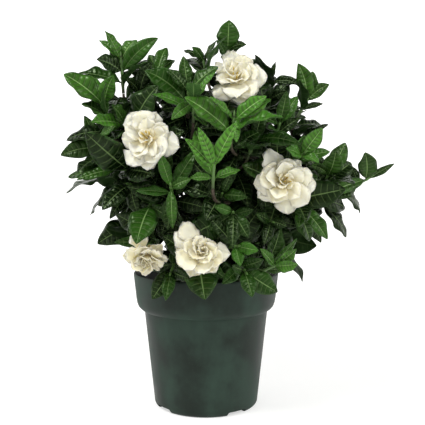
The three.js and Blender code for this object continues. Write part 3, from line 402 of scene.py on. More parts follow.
def petal_outline(along, pointed=0.0):
    claw = 0.12 + 0.88 * smoothstep(along, 0, 0.66)
    end = max(0, (along - 0.6) / 0.4)
    return claw * max(0, 1 - end ** mix(2.4, 1.4, pointed)) ** mix(0.5, 0.9, pointed)


LEAF_EDGE = {"wave": 0.16, "waves": 5, "outline": leaf_outline, "neck": 0.8}
PETAL_EDGE = {"wave": 0.12, "waves": 4, "outline": petal_outline}


@dataclass
class Blade:
    """A leaf or a petal: its midrib leaves the root along heading and bends away from facing."""

    root: Vector
    heading: Vector
    facing: Vector
    length: float
    width: float
    rise: float
    bend: float
    roll: float
    twist: float
    fold: float
    curl: float
    wave: float
    waves: float
    phase: float
    outline: object
    neck: float = 0

    def point(self, along, across):
        """The place on the middle surface, from root to tip and from edge to edge, and the normal there."""
        slope = self.rise - self.bend * along
        reach = self.length / self.bend
        sine, cosine = math.sin(slope), math.cos(slope)
        turn = self.roll + self.twist * along
        flat = self.facing.cross(self.heading)
        upright = self.facing * cosine - self.heading * sine
        side = flat * math.cos(turn) + upright * math.sin(turn)
        normal = upright * math.cos(turn) - flat * math.sin(turn)
        half = max(self.width / 2 * self.outline(along), self.neck)
        wave = self.wave * math.sin(self.waves * math.pi * along + self.phase + (2 if across < 0 else 0))
        raised = abs(across) * math.sin(self.fold) + across * across * (wave - self.curl)
        place = (
            self.root
            + self.heading * (reach * (math.sin(self.rise) - sine))
            + self.facing * (reach * (cosine - math.cos(self.rise)))
            + side * (across * half * math.cos(self.fold))
            + normal * (half * raised)
        )
        return place, normal


def bent_length(chord, bend):
    """The length of a midrib that bends evenly and ends a chord away."""
    return chord * bend / 2 / math.sin(bend / 2)


# ---- the plan worked out ------------------------------------------------------------------------


@dataclass
class Shoot:
    name: str
    at: Vector
    toward: Vector
    turn: float
    whorls: int
    count: int
    leaf: float
    spread: float
    slim: float
    young: float
    reach: list
    flowers: bool = False
    id: int = 0

    def below(self, depth):
        """A place on the stem, so far below the tip, or below the calyx where it flowers."""
        return self.at - self.toward * (depth + (CALYX if self.flowers else 0))

    def whorl_place(self, whorl):
        return self.below(TIP_TO_WHORL + WHORL_STEP * whorl)

    def foot(self):
        return self.below(TIP_TO_WHORL + WHORL_STEP * self.whorls - 2)


def shoot_from(row):
    name, at, toward, *rest = row
    return Shoot("shoot_" + name, Vector(at), Vector(toward).normalized(), *rest)


def all_shoots():
    """Every leafy shoot, in the order that their draws are numbered in."""
    shoots = []
    for name, at, faces, _, _, turn, reach, _ in BLOOMS:
        shoot = shoot_from((name.replace("bloom_", "under_"), at, faces, turn + 30, *UNDER_BLOOM, reach))
        shoots.append(replace(shoot, at=shoot.at - shoot.toward * BLOOM_DEPTH, flowers=True))
    shoots += [shoot_from(row) for row in SHOOTS]
    for level, (height, radius, count, bearings, rise) in enumerate(BACK_RINGS):
        for i in range(count):
            bearing = math.radians(mix(*bearings, i / (count - 1)) + jitter(5, level, i))
            reach = radius + jitter(10, level, i, 1)
            at = (reach * math.cos(bearing), reach * math.sin(bearing), height + jitter(12, level, i, 2))
            toward = (math.cos(bearing), math.sin(bearing), rise)
            turn = 360 * draw(level, i, 3)
            shoots.append(shoot_from((f"back_{level}_{i}", at, toward, turn, *AT_BACK, [])))
    return [replace(shoot, id=i) for i, shoot in enumerate(shoots)]


def light_facing(node, toward, heading):
    """The way a leaf's face turns: towards the outside of the shrub, the shoot's tip and the light."""
    facing = ((node - HEART) * OUTWARD).normalized() + toward * ALONG_STEM + UP * UPWARD
    return away_from(heading, facing)


def painted_sunlight(node):
    """How much painted light a leaf gets: little inside the shrub, where its colour is painted darker as
    painted shade.
    """
    return smoothstep(((node - HEART) * OUTWARD).length, SHADED, OPEN_SKY)


def aimed_course(shoot, node, aim):
    """The course of a leaf that ends at its own place: out from the stem, spread, length, slimness, roll."""
    x, y, z, slim, *roll = aim
    chord = Vector((x, y, z)) - node
    out = away_from(shoot.toward, chord)
    return out, chord.angle(shoot.toward), chord.length, slim, math.radians(sum(roll))


def whorled_course(shoot, whorl, index, key):
    """The course of any other leaf: whorls stand over each other's gaps, and open wider lower down."""
    turn = shoot.turn + (360 / shoot.count) * (index + whorl / 2) + jitter(9, *key, 1)
    spread = math.radians(shoot.spread + 13 * whorl + jitter(7, *key, 2))
    length = shoot.leaf * WHORL_SIZES[whorl] * (1 + jitter(0.1, *key, 4))
    return around(shoot.toward, turn), spread, length, shoot.slim + 0.04, 0


def leaf_blade(shoot, whorl, index, swing):
    turn_by, open_by, shorten = swing
    key = (shoot.id, whorl, index)
    node = shoot.whorl_place(whorl) - shoot.toward * jitter(1.5, *key, 3)
    place = whorl * shoot.count + index
    if place < len(shoot.reach):
        out, spread, chord, slim, roll = aimed_course(shoot, node, shoot.reach[place])
    else:
        out, spread, chord, slim, roll = whorled_course(shoot, whorl, index, key)
    out = Quaternion(shoot.toward, math.radians(turn_by)) @ out
    spread += math.radians(open_by)
    heading = shoot.toward * math.cos(spread) + out * math.sin(spread)
    bend = mix(0.8, 0.5, shoot.young) + jitter(0.2, *key, 6)
    length = bent_length(chord * shorten, bend)
    return Blade(
        root=node + out * 0.3,
        heading=heading,
        facing=light_facing(node, shoot.toward, heading),
        length=length,
        width=length * slim * (1 + jitter(0.08, *key, 5)),
        rise=bend / 2,
        bend=bend,
        roll=roll + jitter(0.25, *key, 10),
        twist=jitter(0.3, *key, 7),
        fold=mix(0.28, 0.5, shoot.young) + jitter(0.08, *key, 8),
        curl=mix(0.3, 0.12, shoot.young),
        phase=6.283 * draw(*key, 9),
        **LEAF_EDGE,
    )


def grown_leaves(shoot):
    """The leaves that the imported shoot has, each in the swing whose tip is one of its corners."""
    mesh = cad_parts[shoot.name].data
    corners = kdtree.KDTree(len(mesh.vertices))
    for vertex in mesh.vertices:
        corners.insert(vertex.co, vertex.index)
    corners.balance()
    leaves = []
    for whorl in range(shoot.whorls):
        for index in range(shoot.count):
            for swing in SWINGS:
                blade = leaf_blade(shoot, whorl, index, swing)
                tip, _ = blade.point(1, 0)
                if corners.find(tip * MM)[2] < TIP_MATCH * MM:
                    leaves.append((whorl, index, blade))
                    break
    return leaves


def petal_course(bloom_id, level, index, base):
    """The course of a petal: out from the axis, lean from it, length, width, rise and bend."""
    _, _, faces, petal, opened, bloom_turn, _, tips = BLOOMS[bloom_id]
    count, size, width, leaves, ends, _, _, rooted = PETAL_WHORLS[level]
    axis = Vector(faces).normalized()
    if level < PLACED_WHORLS:
        reach = Vector(tips[level * count + index]) - base
        out = away_from(axis, reach)
        chord = reach - out * rooted
        bend = math.radians(ends - leaves)
        length = bent_length(chord.length, bend)
        return out, chord.angle(axis), length, length * width / size, bend / 2, bend
    key = (bloom_id, level, index)
    turn = bloom_turn + (360 / count) * (index + level / 2) + jitter(4, *key, 1)
    shut = (1 - opened) * PETALS_SHUT[level]
    lean = math.radians(leaves - shut * 0.5 + jitter(3, *key, 2))
    end = math.radians(ends - shut + jitter(8, *key, 3))
    length = petal * size * (1 + jitter(0.07, *key, 4))
    return around(axis, turn), lean, length, petal * width, 0, end - lean


def petal_blade(bloom_id, level, index):
    _, at, faces, *_ = BLOOMS[bloom_id]
    *_, fold, roll, rooted = PETAL_WHORLS[level]
    key = (bloom_id, level, index)
    axis = Vector(faces).normalized()
    base = Vector(at) + axis * (level * PETAL_STEP - CUP_DEPTH)
    out, lean, length, width, rise, bend = petal_course(bloom_id, level, index, base)
    return Blade(
        root=base + out * rooted,
        heading=axis * math.cos(lean) + out * math.sin(lean),
        facing=axis * math.sin(lean) - out * math.cos(lean),
        length=length,
        width=width * (1 + jitter(0.06, *key, 5)),
        rise=rise,
        bend=bend,
        roll=roll,
        twist=jitter(0.12, *key, 6),
        fold=fold,
        curl=0.2 if level == 0 else -fold * 0.4,
        phase=6.283 * draw(*key, 7),
        **PETAL_EDGE,
    )


def bezier(p0, p1, p2, p3, share):
    rest = 1 - share
    return p0 * rest**3 + p1 * (3 * rest**2 * share) + p2 * (3 * rest * share**2) + p3 * share**3


def bezier_tangent(p0, p1, p2, p3, share):
    rest = 1 - share
    slope = (p1 - p0) * rest**2 + (p2 - p1) * (2 * rest * share) + (p3 - p2) * share**2
    return slope.normalized()


def branch_curves():
    """The main branches: they rise from the crown and then lean out to their ends."""
    curves = []
    for x, y, z in BRANCH_ENDS:
        start = Vector((x, y, 0)).normalized() * BRANCH_ROOT
        start.z = CROWN_TOP - BRANCH_ROOT
        low = Vector((start.x + x * 0.12, start.y + y * 0.12, mix(start.z, z, 0.35)))
        high = Vector((x * 0.75, y * 0.75, mix(start.z, z, 0.6)))
        curves.append((start, low, high, Vector((x, y, z))))
    return curves


def twig_curves(branches, shoots):
    """One twig a shoot, from a fork of its own on a main branch."""
    forks = []
    for branch in branches:
        for i in range(FORKS_PER_BRANCH):
            share = mix(0.1, 0.98, i / (FORKS_PER_BRANCH - 1))
            forks.append((bezier(*branch, share), bezier_tangent(*branch, share)))
    twigs = []
    for shoot in shoots:
        end = shoot.foot()

        def cost(fork):
            """The best fork is near and well below the shoot."""
            distance = (fork[0] - end).length
            return distance + 0.9 * max(0, fork[0].z - end.z + 0.35 * distance)

        best = min(forks, key=cost)
        forks.remove(best)
        point, tangent = best
        distance = (point - end).length
        away = ((end - point).normalized() + tangent).normalized()
        twigs.append((point, point + away * distance * 0.3, end - shoot.toward * distance * 0.35, end))
    return twigs


# ---- mesh building ------------------------------------------------------------------------------

MARKS = ("along", "across", "young", "shade", "under")  # what each point of a blade knows of its place on it


def new_mesh(*marks):
    """An empty bmesh whose points carry the named numbers."""
    bm = bmesh.new()
    return bm, {mark: bm.verts.layers.float.new(mark) for mark in marks}


def new_object(name, data):
    made = bpy.data.objects.new(name, data)
    bpy.context.scene.collection.objects.link(made)
    return made


def mesh_object(bm, name, materials=(), smooth=True):
    """Turns a bmesh into an object of its own."""
    mesh = bpy.data.meshes.new(name)
    for face in bm.faces:
        face.smooth = smooth
    bm.to_mesh(mesh)
    bm.free()
    for material in materials:
        mesh.materials.append(material)
    return new_object(name, mesh)


def finish_piece(bm, name, materials, replaced):
    """Turns a bmesh into a finished piece that rides on the plant's one body."""
    piece = mesh_object(bm, name, materials)
    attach(piece, "root")
    if replaced:
        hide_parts(*replaced)
    return piece


def dress_rest(bm, done):
    """Gives the faces made since to the piece's second material."""
    bm.faces.ensure_lookup_table()
    for face in bm.faces[done:]:
        face.material_index = 1


def lathe(bm, profile, steps):
    """Spins a chain of (radius, height) places, in millimetres, round the upright axis."""
    chain = [bm.verts.new((radius * MM, 0, height * MM)) for radius, height in profile]
    edges = [bm.edges.new(pair) for pair in zip(chain, chain[1:])]
    spun = {"geom": chain + edges, "cent": (0, 0, 0), "axis": UP, "angle": math.tau, "steps": steps}
    bmesh.ops.spin(bm, use_merge=True, **spun)
    bmesh.ops.remove_doubles(bm, verts=bm.verts, dist=1e-6)
    bmesh.ops.recalc_face_normals(bm, faces=bm.faces)
    if bm.calc_volume(signed=True) < 0:
        bmesh.ops.reverse_faces(bm, faces=bm.faces)


def turn_out(bm, vertices):
    """Turns the faces of a grid over."""
    faces = {face for vertex in vertices for face in vertex.link_faces}
    bmesh.ops.reverse_faces(bm, faces=list(faces))


def lay_sheet(bm, marks, rows, columns, shape, values):
    """A thin closed sheet from two grids that meet at their edges. shape gives, for a place along and across,
    the point, the normal and the lifts of the upper and the lower face, in millimetres."""
    grids = []
    for under in (0, 1):
        grid = bmesh.ops.create_grid(bm, x_segments=columns, y_segments=rows, size=1)["verts"]
        grids.append(grid)
        for vertex in grid:
            across, along = -vertex.co.x, (vertex.co.y + 1) / 2
            point, normal, over_lift, under_lift = shape(along, across)
            vertex.co = (point + normal * (-under_lift if under else over_lift)) * MM
            place = {"along": along, "across": across, "under": under}
            for mark, value in {**values, **place}.items():
                vertex[marks[mark]] = value
    turn_out(bm, grids[1])
    rims = [vertex for grid in grids for vertex in grid if vertex.is_boundary]
    bmesh.ops.remove_doubles(bm, verts=rims, dist=1e-6)


def sweep(bm, marks, course, radius, sides, steps, values):
    """A closed tube: course gives its middle for a share of its length, and radius its reach at a turn."""
    grid = bmesh.ops.create_grid(bm, x_segments=sides, y_segments=steps, size=1)["verts"]
    stretches = [(max(0, i / steps - 0.01), min(1, i / steps + 0.01)) for i in range(steps + 1)]
    tangents = [(course(after) - course(before)).normalized() for before, after in stretches]
    first = tangents[0].orthogonal().normalized()
    frames = []
    for tangent in tangents:
        first = away_from(tangent, first)
        frames.append((first, tangent.cross(first)))
    for vertex in grid:
        step = round((vertex.co.y + 1) / 2 * steps)
        turn = math.pi * vertex.co.x
        one, other = frames[step]
        reach = radius(step / steps, turn)
        vertex.co = (course(step / steps) + (one * math.cos(turn) + other * math.sin(turn)) * reach) * MM
        if "along" in marks:
            vertex[marks["along"]] = step / steps
        for mark, value in values.items():
            vertex[marks[mark]] = value
    turn_out(bm, grid)
    bmesh.ops.remove_doubles(bm, verts=grid, dist=1e-7)
    ends = {edge for vertex in grid if vertex.is_valid for edge in vertex.link_edges if edge.is_boundary}
    bmesh.ops.holes_fill(bm, edges=list(ends), sides=sides + 1)


# ---- materials ----------------------------------------------------------------------------------


def add(tree, kind, *values, out=None, **settings):
    """Adds a node and gives back its output. Values and links go to the inputs in use, in order. A setting is
    a property of the node or, if it has none of that name, an input, with _ for a space."""
    node = tree.nodes.new("ShaderNode" + kind)
    named = []
    for key, value in settings.items():
        if hasattr(node, key):
            setattr(node, key, value)
        else:
            named.append((node.inputs[key.replace("_", " ")], value))
    in_use = [socket for socket in node.inputs if socket.enabled]
    for socket, value in [*zip(in_use, values), *named]:
        if isinstance(value, bpy.types.NodeSocket):
            tree.links.new(value, socket)
        elif socket.type == "RGBA":
            socket.default_value = (*value, 1)[:4]
        else:
            socket.default_value = value
    return node.outputs[out] if out else next((socket for socket in node.outputs if socket.enabled), None)


def new_material(name):
    material = bpy.data.materials.new(name)
    material.use_nodes = True
    material.node_tree.nodes.clear()
    return material, material.node_tree


def speckle(tree, size_mm, detail=2.0, rough=0.5, stretch=None):
    """Noise whose lumps are about size_mm across, in the object's own coordinates."""
    place = add(tree, "TexCoord", out="Object")
    if stretch:
        place = add(tree, "Mapping", place, Scale=stretch)
    return add(tree, "TexNoise", place, Scale=1 / (size_mm * MM), Detail=detail, Roughness=rough)


NUMBER = {"out": "Fac"}  # an attribute read as the number that each point carries
STEP = {"interpolation_type": "SMOOTHSTEP"}  # a map range that eases from one end to the other
COLOURS = {"data_type": "RGBA"}  # a mix of two colours
TIMES = {"operation": "MULTIPLY"}
TIMES_PLUS = {"operation": "MULTIPLY_ADD"}
LARGER = {"operation": "MAXIMUM"}


def leaf_material(look):
    """Waxy evergreen leaf: a glossy cuticle over deep green, quilted between pale side veins."""
    material, tree = new_material("leaf_waxy")
    told = [add(tree, "Attribute", attribute_name=mark, **NUMBER) for mark in MARKS]
    along, across, young, shade, below = told
    patches = speckle(tree, 14)

    # The side veins, the valleys they lie in, darkened as painted shade, and the midrib. The side veins end
    # before the margin.
    off_rib = add(tree, "Math", across, operation="ABSOLUTE")
    side_wave = add(tree, "Math", add(tree, "Math", along, look.pairs, **TIMES), 0.5, operation="PINGPONG")
    inland = add(tree, "MapRange", off_rib, 0.92, 0.55, **STEP)
    rib = add(tree, "MapRange", off_rib, 0.06, 0.025, **STEP)
    side_vein = add(tree, "Math", add(tree, "MapRange", side_wave, 0.12, 0.02, **STEP), inland, **TIMES)
    side_vein = add(tree, "Math", side_vein, add(tree, "Math", young, -0.2, 0.35, **TIMES_PLUS), **TIMES)
    veins = add(tree, "Math", side_vein, rib, **LARGER)
    # Painted shade in the groove beside each side vein, deeper on young leaves.
    painted_vein_shade = add(tree, "Math", add(tree, "MapRange", side_wave, 0.26, 0.06, **STEP), inland, **TIMES)
    painted_vein_shade = add(tree, "Math", painted_vein_shade, add(tree, "Math", young, 0.5, 0.25, **TIMES_PLUS), **TIMES)

    # Leaves pale from the dark old ones to the newest, in patches. Through the shade mark, leaves deep in the
    # shrub are painted darker: painted shade.
    tone = add(tree, "Math", patches, 0.55, add(tree, "Math", shade, 0.95, -0.6, **TIMES_PLUS), **TIMES_PLUS)
    youth = add(tree, "Math", young, 0.75, **TIMES)
    tone = add(tree, "Math", tone, youth, operation="ADD", use_clamp=True)
    newest = add(tree, "Math", young, 2.0, operation="POWER")
    newest = add(tree, "Math", newest, add(tree, "Math", patches, 1.2, -0.1, **TIMES_PLUS), **TIMES)
    body = add(tree, "Mix", tone, look.dark, look.light, **COLOURS)
    body = add(tree, "Mix", newest, body, look.fresh, **COLOURS)
    body = add(tree, "Mix", painted_vein_shade, body, look.dark, **COLOURS)

    # The veins and a thin margin show pale above. Beneath, only the veins do, and undersides of dark tone and
    # of leaves deep in the shrub are darker, partly painted shade.
    margin = add(tree, "Math", tone, 0.3, 0.1, **TIMES_PLUS)
    margin = add(tree, "Math", add(tree, "MapRange", off_rib, 0.9, 0.98, **STEP), margin, **TIMES)
    showing = add(tree, "Math", veins, add(tree, "Math", young, 0.45, 0.25, **TIMES_PLUS), **TIMES)
    showing = add(tree, "Math", showing, margin, **LARGER)
    over = add(tree, "Mix", showing, body, look.vein, **COLOURS)
    tone_and_shade_beneath = add(tree, "Math", shade, -1.1, 0.75, use_clamp=True, **TIMES_PLUS)
    beneath = add(tree, "Mix", add(tree, "Math", veins, 0.5, **TIMES), look.under, look.vein, **COLOURS)
    # Undersides darken with the random tone, and as painted shade deep in the shrub.
    beneath = add(tree, "Mix", tone_and_shade_beneath, beneath, look.dark, **COLOURS)

    # The cuticle: smooth above, rougher beneath, quilted and finely grained.
    gloss = add(tree, "Math", patches, 0.2, 0.18, **TIMES_PLUS)
    gloss = add(tree, "Math", below, 0.25, gloss, **TIMES_PLUS)
    quilt = add(tree, "Math", rib, -0.35, add(tree, "Math", side_wave, inland, **TIMES), **TIMES_PLUS)
    fine = add(tree, "Bump", Height=quilt, Strength=0.6, Distance=0.75 * MM)
    pores = speckle(tree, 0.9, 1)
    shader = add(
        tree,
        "BsdfPrincipled",
        Base_Color=add(tree, "Mix", below, over, beneath, **COLOURS),
        Roughness=gloss,
        Normal=add(tree, "Bump", Height=pores, Normal=fine, Strength=0.12, Distance=0.2 * MM),
        Specular_IOR_Level=0.22,
        Specular_Tint=(0.72, 1, 0.5),
        Coat_Weight=0.05,
        Coat_Roughness=0.2,
    )
    add(tree, "OutputMaterial", shader)
    return material


def petal_material(look):
    """Thick velvety petal: matt cream-white that lets light through, yellower towards its claw."""
    material, tree = new_material("petal_velvet")
    told = [add(tree, "Attribute", attribute_name=mark, **NUMBER) for mark in MARKS[:4]]
    along, across, young, shade = told
    warm = add(tree, "Math", shade, 0.5, -0.3, **TIMES_PLUS)
    warm = add(tree, "Math", speckle(tree, 6, 3), 0.5, warm, use_clamp=True, **TIMES_PLUS)
    claw = add(tree, "Math", young, 0.6, 0.4, **TIMES_PLUS)
    claw = add(tree, "Math", add(tree, "MapRange", along, 0.62, 0.12, **STEP), claw, **TIMES)
    body = add(tree, "Mix", warm, look.white, look.cream, **COLOURS)
    body = add(tree, "Mix", claw, body, look.heart, **COLOURS)

    # Fine ribs run lengthways, other ones on each petal, under a velvety skin.
    fanned = [add(tree, "Math", *pair, **TIMES) for pair in ((across, 14.0), (along, 2.0), (shade, 40.0))]
    streaks = add(tree, "TexNoise", add(tree, "CombineXYZ", *fanned), Scale=1.0, Detail=2.0)
    ribs = add(tree, "Bump", Height=streaks, Strength=0.35, Distance=0.5 * MM)
    velvet = speckle(tree, 1.2)
    shader = add(
        tree,
        "BsdfPrincipled",
        Base_Color=body,
        Roughness=0.55,
        Normal=add(tree, "Bump", Height=velvet, Normal=ribs, Strength=0.15, Distance=0.3 * MM),
        Sheen_Weight=0.25,
        Sheen_Roughness=0.5,
        Subsurface_Weight=0.5,
        Subsurface_Radius=(1, 0.85, 0.5),
        Subsurface_Scale=3 * MM,
    )
    add(tree, "OutputMaterial", shader)
    return material


def anther_material(look):
    """Ripe anther: dry yellow pollen sacs."""
    material, tree = new_material("anther_pollen")
    brown = tuple(channel * 0.55 for channel in look.pollen)
    tone = add(tree, "Mix", speckle(tree, 0.8), look.pollen, brown, **COLOURS)
    add(tree, "OutputMaterial", add(tree, "BsdfPrincipled", Base_Color=tone, Roughness=0.8))
    return material


def bark_material(look):
    """Young gardenia bark: grey-brown, finely furrowed along the stem, with greener patches."""
    material, tree = new_material("bark_thin")
    furrows = speckle(tree, 2.2, 4, 0.65, stretch=(1, 1, 0.3))
    patches = add(tree, "MapRange", speckle(tree, 11), 0.5, 0.7, **STEP)
    ridges = add(tree, "MapRange", furrows, 0.35, 0.65, **STEP)
    body = add(tree, "Mix", ridges, look.brown, look.grey, **COLOURS)
    body = add(tree, "Mix", add(tree, "Math", patches, 0.35, **TIMES), body, look.green, **COLOURS)
    relief = add(tree, "Bump", Height=furrows, Strength=0.6, Distance=0.6 * MM)
    add(tree, "OutputMaterial", add(tree, "BsdfPrincipled", Base_Color=body, Roughness=0.8, Normal=relief))
    return material


def green_stem_material(look):
    """This year's stem: smooth and green, browning towards the wood."""
    material, tree = new_material("stem_green")
    along = add(tree, "Attribute", attribute_name="along", **NUMBER)
    spots = add(tree, "Math", speckle(tree, 3), 0.5, 0.5, **TIMES_PLUS)
    old = add(tree, "Math", along, -1.3, spots, use_clamp=True, **TIMES_PLUS)
    body = add(tree, "Mix", old, look.green, look.brown, **COLOURS)
    add(tree, "OutputMaterial", add(tree, "BsdfPrincipled", Base_Color=body, Roughness=0.5))
    return material


def pot_material(look):
    """Injection-moulded polypropylene with recycled filler: dark grey-green, clouded by dried splashes."""
    material, tree = new_material("polypropylene_moulded")
    clouds = add(tree, "MapRange", speckle(tree, 52, 4, 0.55), 0.36, 0.66, **STEP)
    runs = add(tree, "Math", speckle(tree, 16, 5, 0.6, stretch=(1, 1, 0.3)), 0.9, 0.15, **TIMES_PLUS)
    haze = add(tree, "Math", clouds, runs, **TIMES)
    specks = add(tree, "MapRange", speckle(tree, 1.6), 0.62, 0.75, **STEP)
    body = add(tree, "Mix", haze, look.body, look.dust, **COLOURS)
    body = add(tree, "Mix", add(tree, "Math", specks, 0.25, **TIMES), body, look.dust, **COLOURS)
    shader = add(
        tree,
        "BsdfPrincipled",
        Base_Color=body,
        Roughness=add(tree, "Math", haze, 0.35, 0.42, **TIMES_PLUS),
        Normal=add(tree, "Bump", Height=speckle(tree, 1.1, 3), Strength=0.12, Distance=0.25 * MM),
        Specular_IOR_Level=0.2,
    )
    add(tree, "OutputMaterial", shader)
    return material


def mix_material(look):
    """Potting mix: damp composted bark and peat, with paler bark chips and white perlite."""
    material, tree = new_material("potting_mix_crumbly")
    kind = add(tree, "Attribute", attribute_name="shade", **NUMBER)
    crumbs = speckle(tree, 3, 5, 0.7)
    crumbled = add(tree, "MapRange", crumbs, 0.35, 0.65, **STEP)
    splintered = add(tree, "MapRange", speckle(tree, 2, 3), 0.3, 0.7, **STEP)
    body = add(tree, "Mix", crumbled, look.dark, look.brown, **COLOURS)
    chips = add(tree, "Mix", splintered, look.brown, look.chip, **COLOURS)
    body = add(tree, "Mix", add(tree, "MapRange", kind, 0.2, 0.4, **STEP), body, chips, **COLOURS)
    body = add(tree, "Mix", add(tree, "MapRange", kind, 0.8, 0.95, **STEP), body, look.perlite, **COLOURS)
    relief = add(tree, "Bump", Height=crumbs, Strength=0.9, Distance=1.5 * MM)
    add(tree, "OutputMaterial", add(tree, "BsdfPrincipled", Base_Color=body, Roughness=0.95, Normal=relief))
    return material


def paper_material(look):
    """Matt backdrop paper that glows of itself, with no lamp behind it: a little in the floor and more where
    it rises as a wall. The glow is painted light.
    """
    material, tree = new_material("paper_matt")
    glow_share = add(tree, "Attribute", attribute_name="glow_share", **NUMBER)
    shader = add(
        tree,
        "BsdfPrincipled",
        Base_Color=look.paper,
        Roughness=0.9,
        Specular_IOR_Level=0.1,
        Emission_Color=(1, 1, 1),
        Emission_Strength=add(tree, "Math", glow_share, look.glow, **TIMES),
    )
    add(tree, "OutputMaterial", shader)
    return material


# ---- settings -----------------------------------------------------------------------------------


def colour_property(name, description, hex_code):
    look = {"size": 3, "min": 0, "max": 1, "subtype": "COLOR"}
    return FloatVectorProperty(name=name, description=description, default=linear(hex_code), **look)


def length_property(name, description, millimetres):
    return FloatProperty(name=name, description=description, default=millimetres * MM, min=0, unit="LENGTH")


def number_property(name, description, default):
    return FloatProperty(name=name, description=description, default=default, min=0)


def count_property(name, description, default, least=0):
    return IntProperty(name=name, description=description, default=default, min=least)


class PotSettings(bpy.types.PropertyGroup):
    body: colour_property("Plastic", "Colour of the moulded plastic", "141f18")
    dust: colour_property("Dust", "Colour of dried splashes on it", "31443a")
    sides: count_property("Sides", "Steps that the pot is spun in", 120, 24)


class MixSettings(bpy.types.PropertyGroup):
    dark: colour_property("Peat", "Colour of the damp peat", "1d1610")
    brown: colour_property("Compost", "Colour of the composted bark", "3a2b1d")
    chip: colour_property("Chips", "Colour of the bark chips", "6d5236")
    perlite: colour_property("Perlite", "Colour of the perlite grains", "d9d5c8")
    chips: count_property("Chips", "Bark chips and perlite grains on top", 260)


class ShrubSettings(bpy.types.PropertyGroup):
    leaf: length_property("Leaf", "Thickness of a leaf", 0.5)
    pairs: count_property("Side veins", "Pairs of side veins on a leaf", 9, 2)
    # Old leaf is also the painted shade: leaves deep in the shrub, the grooves beside the side veins and deep
    # undersides are mixed towards it.
    dark: colour_property("Old leaf", "Colour of a shaded old leaf", "071504")
    light: colour_property("Lit leaf", "Colour of a full-grown leaf in the light", "37691b")
    fresh: colour_property("New leaf", "Colour of a leaf that has just opened", "629a3a")
    vein: colour_property("Vein", "Colour of the midrib and side veins", "a3c67c")
    under: colour_property("Underside", "Colour of a leaf from beneath", "3f6230")
    brown: colour_property("Bark", "Colour of the bark's furrows", "2c2219")
    grey: colour_property("Bark ridges", "Colour of the bark's ridges", "544a3b")
    green: colour_property("Green stem", "Colour of this year's stems", "55783a")


class BloomSettings(bpy.types.PropertyGroup):
    petal: length_property("Petal", "Thickness of a petal", 0.5)
    white: colour_property("White", "Colour of a fresh petal", "f2edd3")
    cream: colour_property("Cream", "Colour of a petal that ages", "efe3ba")
    heart: colour_property("Heart", "Colour of a petal towards its claw", "ead494")
    pollen: colour_property("Pollen", "Colour of the anthers", "dfc04e")


class StageSettings(bpy.types.PropertyGroup):
    paper: colour_property("Paper", "Colour of the floor and backdrop", "c8c8c6")
    glow: number_property("Glow", "Brightness of the wall behind the plant", 0.8)
    under: number_property("Floor glow", "Share of that brightness in the floor", 0.7)
    front: number_property("Front glow", "Share of it in the wall in front", 0.3)
    power: number_property("Power", "Power of the soft lights, in watts", 9)
    sky: number_property("Fill", "Strength of the even light from all round", 0.03)


# ---- operators ----------------------------------------------------------------------------------


